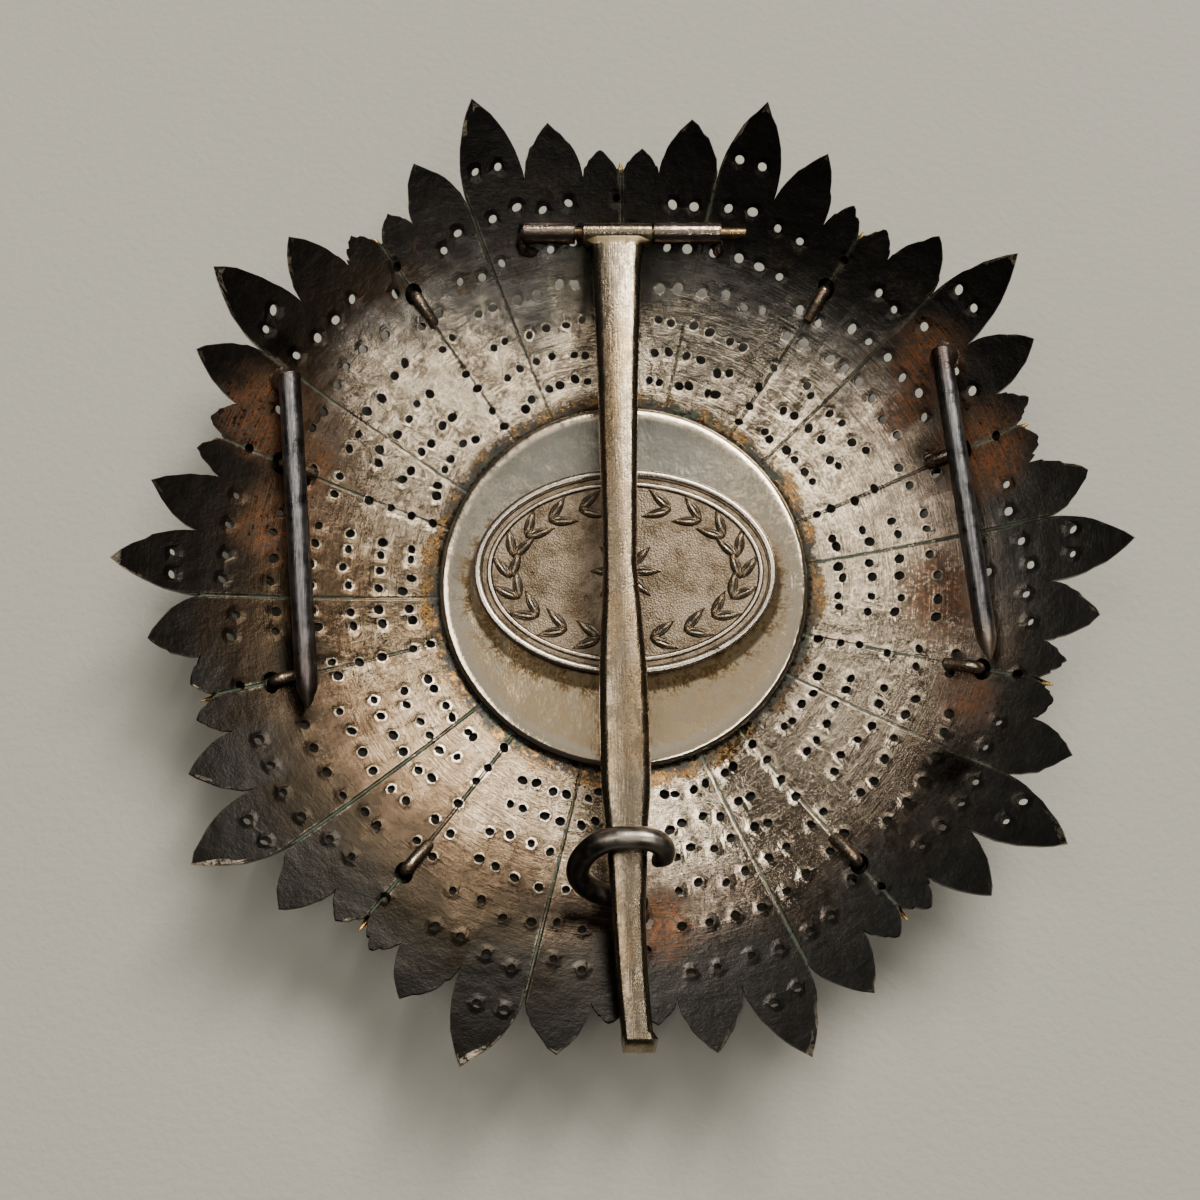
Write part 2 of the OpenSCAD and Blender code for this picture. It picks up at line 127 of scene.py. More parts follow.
def outline_columns():
    """Nominal angle, outline radius and lift of each column of the sheet, from notch to notch."""
    luck = random.Random(11)
    count = len(GROUPS) * len(RAYS)
    roots = [NOTCH_R + luck.gauss(0, NOTCH_STRAY) for _ in range(count)]
    columns = []
    for i in range(count):
        left, tip, right, reach = RAYS[i % len(RAYS)]
        usual_bow = FLANK_BOWS[reach]
        axis = PITCH * (i // len(RAYS) + 0.5)
        tip += luck.gauss(0, TIP_STRAY)
        reach += luck.gauss(0, REACH_STRAY)
        lift = luck.gauss(*RAY_LIFT)
        for notch, root, steps in (
            (left, roots[i], range(FLANK_STEPS)),
            (right, roots[(i + 1) % count], range(FLANK_STEPS, 0, -1)),
        ):
            bow = usual_bow + luck.gauss(0, BOW_STRAY)
            for step in steps:
                t = step / FLANK_STEPS
                nick = luck.gauss(0, STEP_STRAY) - NICK * (luck.random() < NICK_SHARE)
                r = min(root + (reach - root) * t + nick * (0 < t < 1), reach - TIP_BLUNT)
                columns.append((axis + tip + (notch - tip) * (1 - t ** bow), r, lift * t))
    return columns


def sheet_rows(outline_r):
    """Radius, depth under the back and share of the ray, from the back's middle round to the front's."""
    rows = [(ring, 0.0, 0.0) for ring in BACK_RINGS]
    last = BACK_RINGS[-1]
    rows += [(last + (outline_r - EDGE - last) * share, 0.0, share) for share in RAY_SHARES]
    rows += [(outline_r, EDGE, 1.0), (outline_r, WALL - EDGE, 1.0), (outline_r - EDGE, WALL, 1.0)]
    first = FRONT_RINGS[0]
    rows += [(first + (outline_r - first) * share, WALL, share) for share in FRONT_SHARES]
    rows += [(ring, WALL, 0.0) for ring in FRONT_RINGS]
    return rows


def seam_gap(nominal, r):
    """Millimetres along the plate to the nearest soldered seam."""
    within = nominal % PITCH - PITCH / 2
    return min(abs(math.radians(within - seam)) for seam in SEAMS) * r


def dents(place, waves):
    """The height of soft dents, given as the height and the size of each wave of them."""
    return sum(height * noise.noise(place / size) for height, size in waves)


def sheet_point(nominal, r, depth, lift):
    """A point of the sheet at a nominal angle, with the maker's dents and the solder of the seams."""
    r *= spread(nominal, 1)
    turn = math.radians(spread(nominal, 0))
    place = Vector((r * math.sin(turn), r * math.cos(turn), bowl_z(r, depth) + lift))
    place.z += dents(place, SHEET_DENTS)
    if depth == 0.0 and SOLDER_SPAN[0] < r < SOLDER_SPAN[1]:
        lumps = 0.75 + dents(place, SOLDER_LUMPS)
        place.z += SOLDER_H * lumps * math.exp(-(seam_gap(nominal, r) / SOLDER_W) ** 2)
    return place


def sawn_sheet(columns):
    """The sheet as one grid, wrapped from the middle of the back over the sawn edge to the front's."""
    rows = [sheet_rows(r) for _, r, _ in columns]
    across, along = len(columns), len(rows[0])
    bm = bmesh.new()
    bmesh.ops.create_grid(bm, x_segments=across, y_segments=along - 1, size=1)
    for vert in bm.verts:
        i = round((vert.co.x + 1) / 2 * across) % across
        j = round((vert.co.y + 1) / 2 * (along - 1))
        r, depth, share = rows[i][j]
        vert.co = sheet_point(columns[i][0], r, depth, columns[i][2] * share)
    bmesh.ops.remove_doubles(bm, verts=bm.verts, dist=0.004)
    bmesh.ops.recalc_face_normals(bm, faces=bm.faces)
    return bm


# Radius and places in degrees from the group's axis, row by row from the rim inwards
HOLE_ROWS = (
    (37.2, (-1.9, 1.3)), (33.6, (-1.85, 1.85)), (30.1, (-2.3, 2.0)), (26.9, (-2.3, 1.9)),
    (23.95, (-2.2, 1.6)), (21.4, (-2.4, 1.4)), (18.9, (-2.3, 0.95)),
    (33.0, (-10.5, -6.8)), (29.7, (-10.2, -6.75)), (26.6, (-10.0, -6.9)),
    (23.8, (-10.1, -7.3)), (21.25, (-10.3, -7.2)), (18.65, (-10.2, -7.8)),
    (33.4, (6.3, 10.2)), (30.05, (6.1, 10.05)), (26.8, (6.2, 9.65)),
    (23.95, (6.05, 9.5)), (21.4, (6.2, 9.2)), (18.95, (6.0, 8.9)),
    (33.45, (18.0,)), (31.25, (16.1, 19.9)), (28.5, (16.2, 19.8)), (26.1, (16.3, 19.7)),
    (23.5, (18.0,)), (21.5, (18.0,)), (19.5, (18.0,)), (17.8, (18.0,)),
)
HOLE_R = 0.405
LUG_R = 31.0
SLOT_R = 0.86
# Angle and radius where the prongs and the hook stand on the plate
ROOTS = {"left": (299.2, 33.6), "right": (55.9, 33.6), "hook": (178.18, 28.67)}
ROOT_CLEAR = 1.35
LUG_CLEAR = 1.45
SLOT_STRETCH = 1.3
# How far the driller's hand strays in degrees and millimetres, and the least and most of a hole's size
# and of its stretch
ANGLE_STRAY = 0.26
PLACE_STRAY = 0.22
SIZES = (0.84, 1.12)
STRETCHES = (1.0, 1.3)
BIT_SIDES = 12
BIT_WOBBLE = 0.03
RIM = 0.06
# Holes further away than this leave no mark on the silver
HOLE_REACH = 3.0


def is_bent(k):
    """The studs under the hinge and the hook have their lugs filed off flush."""
    return k % 5 != 0


def drill_places():
    """Place, radius, stretch and lean of every hole, where the maker's hand put it."""
    luck = random.Random(7)
    clear = [(on_bowl(*root), ROOT_CLEAR) for root in ROOTS.values()]
    slots = []
    for k in range(len(GROUPS)):
        angle = spread(PITCH * k, 0)
        if is_bent(k):
            slots.append((on_bowl(angle, LUG_R), SLOT_R, SLOT_STRETCH, -math.radians(angle)))
        clear.append((on_bowl(angle, LUG_R), LUG_CLEAR if is_bent(k) else 0.0))
    holes = []
    for g in range(len(GROUPS)):
        for r, offsets in HOLE_ROWS:
            for offset in offsets:
                angle = spread(PITCH * (g + 0.5) + offset, 0) + luck.gauss(0, ANGLE_STRAY)
                place = on_bowl(angle, r + luck.gauss(0, PLACE_STRAY))
                size = HOLE_R * luck.uniform(*SIZES)
                stretch = luck.uniform(*STRETCHES)
                lean = luck.uniform(0, math.pi)
                if all((place - other).length > gap for other, gap in clear):
                    holes.append((place, size, stretch, lean))
    return slots + holes


def drill_bits(places):
    """One slightly uneven cylinder for each hole, square to the bowl."""
    bm = bmesh.new()
    centre = Vector((0, 0, BALL_Z))
    for place, size, stretch, lean in places:
        square = (place - centre).to_track_quat("Z", "Y").to_matrix().to_4x4()
        shape = Matrix.Diagonal((stretch ** -0.5, stretch ** 0.5, 1, 1))
        bmesh.ops.create_cone(
            bm, cap_ends=True, segments=BIT_SIDES, radius1=size, radius2=size, depth=4 * WALL,
            matrix=Matrix.Translation(place) @ square @ Matrix.Rotation(lean, 4, "Z") @ shape,
        )
    for vert in bm.verts:
        vert.co += BIT_WOBBLE * noise.noise_vector(vert.co * 1.3)
    return bm


def cut_through(bm, tools):
    """The sheet after every tool has gone through it; the walls of the cuts take the second material."""
    pair = []
    for index, source in enumerate((bm, tools)):
        for face in source.faces:
            face.material_index = index
        mesh = bpy.data.meshes.new("work")
        source.to_mesh(mesh)
        source.free()
        for _ in range(2):
            mesh.materials.append(None)
        work = bpy.data.objects.new("work", mesh)
        bpy.context.scene.collection.objects.link(work)
        pair.append(work)
    cut = pair[0].modifiers.new("cut", "BOOLEAN")
    cut.operation = "DIFFERENCE"
    cut.solver = "MANIFOLD"
    cut.object = pair[1]
    graph = bpy.context.evaluated_depsgraph_get()
    made = bpy.data.meshes.new_from_object(pair[0].evaluated_get(graph))
    result = bmesh.new()
    result.from_mesh(made)
    for work in pair:
        bpy.data.meshes.remove(work.data)
    bpy.data.meshes.remove(made)
    return result


def note_places(bm, columns, holes):
    """Keeps on each point how far it lies from a seam, from a hole and from the sawn edge, and its ray."""
    layers = {name: bm.verts.layers.float.new(name) for name in ("seam", "hole", "edge", "ray")}
    tree = kdtree.KDTree(len(holes))
    for i, (place, *_) in enumerate(holes):
        tree.insert(place, i)
    tree.balance()
    luck = random.Random(5)
    tones = [luck.random() for _ in range(len(GROUPS) * len(RAYS))]
    marks = sorted((nominal % 360, r) for nominal, r, _ in columns)
    for vert in bm.verts:
        r = vert.co.xy.length
        nominal = nominal_at(math.degrees(math.atan2(vert.co.x, vert.co.y))) % 360 if r else 0.0
        index = min(int(nominal / 360 * len(marks)), len(marks) - 1)
        while index > 0 and marks[index][0] > nominal:
            index -= 1
        while index < len(marks) - 1 and marks[index + 1][0] < nominal:
            index += 1
        within = nominal % PITCH - PITCH / 2
        ray = max((k for k in range(len(RAYS)) if RAYS[k][0] <= within), default=0)
        vert[layers["seam"]] = seam_gap(nominal, r)
        vert[layers["hole"]] = min(tree.find(vert.co)[2], HOLE_REACH)
        vert[layers["edge"]] = marks[index][1] * spread(nominal, 1) - r
        vert[layers["ray"]] = tones[int(nominal // PITCH) * len(RAYS) + ray]


def drilled_sheet():
    """The sheet with its holes cut through and their rims broken; the rims take the third material."""
    columns = outline_columns()
    holes = drill_places()
    bm = cut_through(sawn_sheet(columns), drill_bits(holes))
    rims = [e for e in bm.edges if len({face.material_index for face in e.link_faces}) == 2]
    bmesh.ops.bevel(
        bm, geom=rims, offset=RIM, offset_type="OFFSET", affect="EDGES", segments=1, profile=0.5,
        material=2, clamp_overlap=True,
    )
    note_places(bm, columns, holes)
    return bm


def smooth_as_the_ball(mesh):
    """Both faces of the plate shine as the ball they were raised on; cuts and edges keep their own."""
    centre = Vector((0, 0, BALL_Z)) * MM
    normals = []
    for face in mesh.polygons:
        for index in face.vertices:
            reach = centre - mesh.vertices[index].co
            on_face = face.material_index == 0 and abs(face.normal.dot(reach.normalized())) > 0.9
            normals.append(reach.normalized() * math.copysign(1, face.normal.z) if on_face else Vector())
    mesh.normals_split_custom_set(normals)


# Faces that meet at more than this many degrees keep a crisp edge between them
SHARP = 38


def finished(name, bm, materials, body, slot, *replaced):
    """Makes a piece from a mesh built in millimetres, hangs it under its body, and hides the solids it
    replaces.
    """
    bmesh.ops.transform(bm, matrix=Matrix.Scale(MM, 4), verts=bm.verts)
    mesh = bpy.data.meshes.new(name)
    bm.to_mesh(mesh)
    bm.free()
    mesh.polygons.foreach_set("use_smooth", [True] * len(mesh.polygons))
    mesh.set_sharp_from_angle(angle=math.radians(SHARP))
    piece = bpy.data.objects.new(name, mesh)
    bpy.context.scene.collection.objects.link(piece)
    for material in materials:
        mesh.materials.append(material)
    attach(piece, body)
    if replaced:
        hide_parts(*replaced)
    return piece


class Value:
    """A node's output that can be reckoned with as a plain number is."""

    def __init__(self, finish, socket):
        self.finish = finish
        self.socket = socket

    def reckon(self, operation, *terms):
        return self.finish.node("ShaderNodeMath", {"operation": operation}, dict(enumerate(terms)))

    def __add__(self, other):
        return self.reckon("ADD", self, other)

    def __radd__(self, other):
        return self.reckon("ADD", other, self)

    def __sub__(self, other):
        return self.reckon("SUBTRACT", self, other)

    def __rsub__(self, other):
        return self.reckon("SUBTRACT", other, self)

    def __mul__(self, other):
        return self.reckon("MULTIPLY", self, other)

    def __truediv__(self, other):
        return self.reckon("DIVIDE", self, other)

    def __rtruediv__(self, other):
        return self.reckon("DIVIDE", other, self)

    def __abs__(self):
        return self.reckon("ABSOLUTE", self)

    def capped(self, top=1.0):
        return self.reckon("MINIMUM", self, top)

    def rise(self, low, high, start=0.0, end=1.0):
        """A smooth step from start to end as the value goes from low to high."""
        sockets = {0: self, 1: low, 2: high, 3: start, 4: end}
        return self.finish.node("ShaderNodeMapRange", {"interpolation_type": "SMOOTHSTEP"}, sockets)


class Finish:
    """A procedural material, built up node by node, with lengths in millimetres."""

    def __init__(self, name, **constants):
        self.material = bpy.data.materials.new(name)
        self.material.use_nodes = True
        self.shader = self.material.node_tree.nodes["Principled BSDF"]
        for socket, value in constants.items():
            self.shader.inputs[socket.replace("_", " ")].default_value = value
        place = self.node("ShaderNodeTexCoord", out="Object")
        self.place = self.scaled(place, 1 / MM)

    def node(self, kind, settings=None, sockets=None, out=0):
        """The one way in which a node is made: its settings first, then its sockets' values or links."""
        made = self.material.node_tree.nodes.new(kind)
        for name, value in (settings or {}).items():
            setattr(made, name, value)
        for name, value in (sockets or {}).items():
            if isinstance(value, Value):
                self.material.node_tree.links.new(value.socket, made.inputs[name])
            else:
                made.inputs[name].default_value = value
        return Value(self, made.outputs[out])

    def vector(self, operation, *terms, out=0):
        return self.node("ShaderNodeVectorMath", {"operation": operation}, dict(enumerate(terms)), out)

    def scaled(self, place, factor):
        return self.node("ShaderNodeVectorMath", {"operation": "SCALE"}, {0: place, "Scale": factor})

    def stretched(self, x, y, z):
        return self.vector("MULTIPLY", self.place, (x, y, z))

    def axis(self, name):
        return self.node("ShaderNodeSeparateXYZ", sockets={0: self.place}, out=name)

    def radius(self, x=1.0, y=1.0):
        """The distance from the star's axis, on a plate drawn out by two factors."""
        return self.vector("LENGTH", self.stretched(x, y, 0.0), out="Value")

    def from_ball(self):
        """The distance from the centre of the ball that the plate was raised on."""
        return self.vector("DISTANCE", self.place, (0.0, 0.0, BALL_Z), out="Value")

    def joined(self, x, y, z):
        return self.node("ShaderNodeCombineXYZ", sockets={0: x, 1: y, 2: z})

    def noted(self, name):
        return self.node("ShaderNodeAttribute", {"attribute_name": name}, out="Fac")

    def noise(self, size, detail=3.0, roughness=0.55, place=None, warp=0.0):
        """Noise from 0 to 1 whose lumps are about the given size."""
        sockets = {
            "Vector": place or self.place, "Scale": 1 / size, "Detail": detail, "Roughness": roughness,
            "Distortion": warp,
        }
        return self.node("ShaderNodeTexNoise", sockets=sockets)

    def cells(self, size):
        sockets = {"Vector": self.place, "Scale": 1 / size}
        return self.node("ShaderNodeTexVoronoi", sockets=sockets, out="Distance")

    def mix(self, share, first, second):
        """A colour between two colours, each given as three numbers or as a value."""
        ends = [end if isinstance(end, Value) else (*end, 1.0) for end in (first, second)]
        return self.node("ShaderNodeMix", {"data_type": "RGBA"}, {0: share, 6: ends[0], 7: ends[1]}, 2)

    def spot(self, centre, reach, wobble):
        """1 at a place, falling to 0 at its reach; the wobble makes its edge uneven."""
        gap = self.vector("DISTANCE", self.place, centre, out="Value") + wobble
        return gap.rise(0.3 * reach, reach, 1.0, 0.0)

    def layered(self, colour, *layers):
        """Lays colours over one, each by the share before it."""
        for share, over in layers:
            colour = self.mix(share, colour, over)
        return colour

    def bump(self, height, depth, under=None):
        """A normal that stands for a height from 0 to 1, times the depth in millimetres."""
        sockets = {"Strength": 1.0, "Distance": depth * MM, "Height": height}
        if under:
            sockets["Normal"] = under
        return self.node("ShaderNodeBump", sockets=sockets)

    def shade(self, **sockets):
        """Feeds the shader and hands over the material."""
        for name, value in sockets.items():
            self.material.node_tree.links.new(value.socket, self.shader.inputs[name.replace("_", " ")])
        return self.material


BRIGHT = (0.76, 0.635, 0.47)
CREAM = (0.40, 0.31, 0.20)
TARNISH = (0.20, 0.145, 0.088)
MAUVE = (0.19, 0.145, 0.115)
STEEL_BLUE = (0.12, 0.115, 0.105)
BROWN = (0.14, 0.085, 0.045)
BLUE_BLACK = (0.0255, 0.0235, 0.0215)
BROWN_BLACK = (0.048, 0.032, 0.020)
RUST = (0.20, 0.068, 0.016)
OCHRE = (0.23, 0.125, 0.04)
VERDIGRIS = (0.014, 0.050, 0.026)
SOOT_AND_SHADE = (0.008, 0.008, 0.006)
DULL_SOLDER = (0.25, 0.23, 0.17)
# Places on the plate and their reach: where it has rusted round the prongs and the hook's foot, where
# soot has settled and where the right prong's shadow is painted on as dark spots, and where the coat
# rubbed it brightest, which also paints in highlights there
WESTERN_RUST = (((-31.0, 13.5), 5.5), ((-29.5, 4.0), 5.0), ((-27.0, 9.5), 3.2))
EASTERN_RUST = (
    ((26.4, 18.8), 4.6), ((30.6, 10.5), 5.6), ((24.4, 14.5), 2.6), ((26.6, -1.5), 6.0), ((28.5, -10.5), 3.8),
)
FOOT_RUST = (((2.6, -29.5), 4.0),)
DARK_SPOTS = (
    ((26.3, -16.5), 3.0), ((26.3, 11.0), 2.6), ((25.6, 14.8), 1.9), ((-1.0, 27.5), 7.0), ((-29.6, 18.6), 2.6),
    ((-27.5, -7.0), 3.5), ((3.4, -27.6), 2.4),
)
RUBBED_AND_HIGHLIT_SPOTS = (((-17.0, 18.0), 11.0), ((20.5, -1.0), 7.5), ((-4.0, 20.0), 5.0))
# The radius at which a stroke round the bowl has its full length
MIDDLE_R = 25.0


def along_the_bowl(finish, length, width):
    """Coordinates in which noise is drawn out round the bowl into strokes of a length and width."""
    flat = finish.stretched(1.0, 1.0, 0.0)
    r = finish.radius()
    around = finish.scaled(flat, MIDDLE_R / length / r)
    return finish.vector("ADD", around, finish.joined(0.0, 0.0, r / width))


def spots(finish, places, wobble):
    """The sum of some spots on the plate, each with an edge that wobbles."""
    total = 0.0
    for (x, y), reach in places:
        total = total + finish.spot((x, y, bowl_z(math.hypot(x, y))), reach, wobble)
    return total.capped()


def plate_silver():
    """Bright where the coat has rubbed, mauve and brown further out, and black on the rays."""
    finish = Finish("plate_silver")
    x, y = finish.axis("X"), finish.axis("Y")
    r = finish.radius()
    front = finish.from_ball().rise(BOWL_R + 0.3, BOWL_R + 0.6)
    seam, hole, edge, ray = (finish.noted(name) for name in ("seam", "hole", "edge", "ray"))
    clouds = finish.noise(9.0, 3.0, 0.6)
    blotch = finish.noise(2.6, 5.0, 0.68)
    grain = finish.noise(0.42, 4.0, 0.7)
    strokes = finish.noise(1.0, 4.0, 0.7, along_the_bowl(finish, 3.2, 0.11))
    waves = finish.noise(1.0, 2.0, 0.5, along_the_bowl(finish, 2.0, 0.55), 0.6)
    speck = grain * 0.6 + blotch * 0.4
    north, east = y / r, x / r
    south_east = (east * 0.75 - north * 0.65).rise(0.35, 0.9)
    south_west = (east * -0.5 - north * 0.86).rise(0.35, 0.9)
    west = (east * -0.75 - north * 0.45).rise(0.25, 0.85)
    warm = (east * -0.8 - north * 0.25 + (clouds - 0.5) * 1.6).rise(0.0, 0.75)

    # How far out the toning has gone: the radius, made uneven and shifted from side to side
    toned = r + (clouds - 0.5) * 10.0 + (blotch - 0.5) * 6.0 + (strokes - 0.5) * 4.0
    # The rubbed spots push the toning further out, which also paints in the highlights seen there
    toned = toned + (ray - 0.5) * 1.6 - spots(finish, RUBBED_AND_HIGHLIT_SPOTS, blotch * 6.0 - 3.0) * 5.0
    toned = toned - south_east * 3.0 + spots(finish, EASTERN_RUST, blotch * 6.0 - 3.0) * 2.0
    middle = finish.layered(
        finish.mix(west, MAUVE, BROWN),
        (north.rise(0.45, 0.85), STEEL_BLUE),
        (speck.rise(0.5, 0.62, 0.0, 0.55), CREAM),
    )
    black = finish.mix(warm, BLUE_BLACK, BROWN_BLACK)
    black = finish.mix(speck.rise(0.52, 0.66, 0.0, 0.35), black, BROWN)
    dingy = (blotch * 0.5 + strokes * 0.5 + clouds * 0.5).rise(0.68, 0.88)
    tips = (r + (blotch - 0.5) * 7.0 + (ray - 0.5) * 3.0).rise(32.0, 37.0)
    body = finish.layered(
        finish.mix(speck.rise(0.47, 0.6) * (1 - south_east * 0.6), BRIGHT, CREAM),
        (dingy * (0.6 - south_east * 0.3), MAUVE),
        (west * (blotch * 0.5 + strokes * 0.5).rise(0.3, 0.6, 0.6, 1.0), TARNISH),
        (toned.rise(20.5, 28.0, 0.0, 0.95), middle),
        (north.rise(0.55, 0.95) * toned.rise(18.5, 23.0, 0.0, 0.5), STEEL_BLUE),
        (toned.rise(25.5, 32.0), black),
        (west * toned.rise(22.5, 29.0, 0.0, 0.6), BROWN_BLACK),
        (south_west * toned.rise(21.5, 29.5, 0.4, 0.88), BROWN_BLACK),
        (south_west * toned.rise(26.0, 32.0, 0.0, 0.72), SOOT_AND_SHADE),
        (tips * (0.8 - south_east * 0.3), BLUE_BLACK),
        (south_east * toned.rise(25.0, 31.0, 0.0, 0.5), STEEL_BLUE),
        # Soot and painted shadow: dark spots, two of them where the right prong's shadow falls
        (spots(finish, DARK_SPOTS, blotch * 4.0 - 2.0) * 0.8, SOOT_AND_SHADE),
    )

    # Rust, the crust round the cover, and what lies along the seams
    rust = spots(finish, WESTERN_RUST + EASTERN_RUST + FOOT_RUST, blotch * 7.0 - 3.5)
    rust = rust * (strokes * 0.4 + grain * 0.5 + blotch * 0.3).rise(0.5, 0.62)
    crust = (r + (blotch - 0.5) * 4.5 + (grain - 0.5) * 3.0).rise(17.1, 17.8, 1.0, 0.0)
    green = crust * speck.rise(0.5, 0.56) * finish.noise(4.0, 1.0).rise(0.5, 0.62)
    damp = finish.noise(5.0, 2.0).rise(0.42, 0.56) * grain.rise(0.4, 0.5)
    damp = damp * (north + (blotch - 0.5)).rise(0.2, 0.7, 1.0, 0.35)
    verdigris = (seam + grain * 0.3).rise(0.17, 0.32, 1.0, 0.0) * damp
    pale = (seam + (grain - 0.5) * 0.7 + (blotch - 0.5) * 0.7).rise(0.05, 0.3, 1.0, 0.0)
    pale = pale * r.rise(28.0, 33.0, 0.3, 0.9) * grain.rise(0.35, 0.55, 0.3, 1.0)
    crack = (seam + (grain - 0.5) * 0.24).rise(0.02, 0.07, 1.0, 0.0) * r.rise(34.5, 35.5, 1.0, 0.0)
    worn = hole.rise(0.47, 0.6, 1.0, 0.0) * blotch.rise(0.4, 0.6) * r.rise(24.0, 30.0, 1.0, 0.0)
    rubbed_edge = edge.rise(0.0, 0.16, 1.0, 0.0)
    worn = worn + rubbed_edge * blotch.rise(0.5, 0.7) * 0.4
    worn = worn + rubbed_edge * r.rise(38.6, 41.4) * grain.rise(0.4, 0.55) * 0.5
    body = finish.layered(
        body,
        (rust * 0.9, finish.mix(grain.rise(0.42, 0.6), RUST, BROWN_BLACK)),
        (crust * 0.95, finish.mix((blotch * 0.7 + grain * 0.3).rise(0.43, 0.53), OCHRE, SOOT_AND_SHADE)),
        ((r + blotch * 1.6 + grain * 0.8).rise(17.5, 17.8, 0.95, 0.0), SOOT_AND_SHADE),
        (pale * 0.7, DULL_SOLDER),
        (crack * grain.rise(0.35, 0.55) * 0.7, SOOT_AND_SHADE),
        ((verdigris + green).capped(), VERDIGRIS),
        ((worn * (1 - crust)).capped(), BRIGHT),
        # The hidden front is painted dark, as shade, so that it throws little light onto the table under the
        # holes
        (front, finish.mix((blotch * 0.6 + grain * 0.4).rise(0.4, 0.6), STEEL_BLUE, BROWN_BLACK)),
    )

    dull = rust * 0.5 + crust * speck.rise(0.44, 0.52) * 0.7 + verdigris
    dull = dull.capped() * (1 - front)
    rough = toned.rise(21.0, 32.0, 0.06, 0.32) + (grain - 0.5) * 0.08 + (blotch - 0.5) * 0.12
    rough = rough + dull * 0.35
    normal = finish.bump(waves * r.rise(27.0, 33.0, 1.0, 0.15), 0.042)
    normal = finish.bump(clouds, 0.22, normal)
    normal = finish.bump(strokes * r.rise(28.0, 33.0, 1.0, 0.12), 0.045, normal)
    normal = finish.bump(grain, 0.026, normal)
    normal = finish.bump(hole.rise(0.35, 1.0), 0.05, normal)
    normal = finish.bump(seam.rise(0.02, 0.2), 0.05, normal)
    return finish.shade(Base_Color=body, Roughness=rough, Metallic=1 - dull * 0.85, Normal=normal)


def hole_wall():
    """The wall of a hole: never rubbed, dark with old polish, and painted black as the shade inside the hole.
    """
    finish = Finish("hole_wall", Metallic=0.6)
    dirt = finish.noise(0.5, 4.0, 0.7)
    colour = finish.mix(dirt.rise(0.45, 0.7), SOOT_AND_SHADE, BROWN)
    return finish.shade(Base_Color=colour, Roughness=dirt.rise(0.3, 0.7, 0.5, 0.8))


def hole_rim():
    """The broken edge round each hole, which every wipe of a cloth brightens again."""
    finish = Finish("hole_rim", Metallic=1.0)
    r = finish.radius()
    clouds = finish.noise(1.5, 3.0) + finish.noise(0.3, 3.0) * 0.3 + (r - 25.0) * 0.05
    colour = finish.mix(clouds.rise(0.4, 0.7), BRIGHT, BROWN_BLACK)
    return finish.shade(Base_Color=colour, Roughness=clouds.rise(0.4, 1.0, 0.2, 0.5))


plate_metals = (plate_silver(), hole_wall(), hole_rim())
star_sheet = finished("star_sheet", drilled_sheet(), plate_metals, "star", "silver_plate", "star_plate")
smooth_as_the_ball(star_sheet.data)


# The studs in the valleys: gilt drops on the front, each with a lug that comes through the plate and is
# folded inwards over it. The lugs behind the hinge and the hook were filed off flush.
DROP_L = 10.0
DROP_W = 2.4
# Thickness in widths, share of the length at which the lug stands, and depth under the front's sheet
DROP_THICK = 0.3
DROP_MIDDLE = 0.42
DROP_GAP = 0.32
LUG_W = 1.05


def placed(angle, r):
    """The frame of a place on the bowl: +Z square out of the hollow back and +Y outwards."""
    turn = Matrix.Rotation(-math.radians(angle), 4, "Z")
    tilt = Matrix.Rotation(math.asin(r / BOWL_R), 4, "X")
    return turn @ Matrix.Translation((0, 0, BALL_Z)) @ tilt @ Matrix.Translation((0, 0, -BOWL_R))


def swept(bm, outline, stations):
    """Carries a closed outline through a row of frames and closes both ends."""
    ring = [bm.verts.new(stations[0] @ point) for point in outline]
    edges = [bm.edges.new(pair) for pair in zip(ring, ring[1:] + ring[:1])]
    bmesh.ops.contextual_create(bm, geom=edges)
    for start, end in zip(stations, stations[1:]):
        made = bmesh.ops.extrude_edge_only(bm, edges=edges)["geom"]
        verts = [part for part in made if isinstance(part, bmesh.types.BMVert)]
        edges = [part for part in made if isinstance(part, bmesh.types.BMEdge)]
        bmesh.ops.transform(bm, matrix=end @ start.inverted(), verts=verts)
    bmesh.ops.contextual_create(bm, geom=edges)
    bmesh.ops.recalc_face_normals(bm, faces=bm.faces)


def round_outline(sides):
    turns = [math.tau * k / sides for k in range(sides)]
    return [Vector((math.cos(turn), math.sin(turn), 0)) for turn in turns]


def wire_stations(path, radii):
    """Frames that follow a path, with +Z along it and the wire's radius as their scale."""
    stations = []
    side = Vector((1, 0, 0))
    for i, place in enumerate(path):
        along = (path[min(i + 1, len(path) - 1)] - path[max(i - 1, 0)]).normalized()
        side = (side - along * side.dot(along)).normalized()
        turn = Matrix((side, along.cross(side), along)).transposed().to_4x4()
        stations.append(Matrix.Translation(place) @ turn @ Matrix.Scale(radii[i], 4))
    return stations


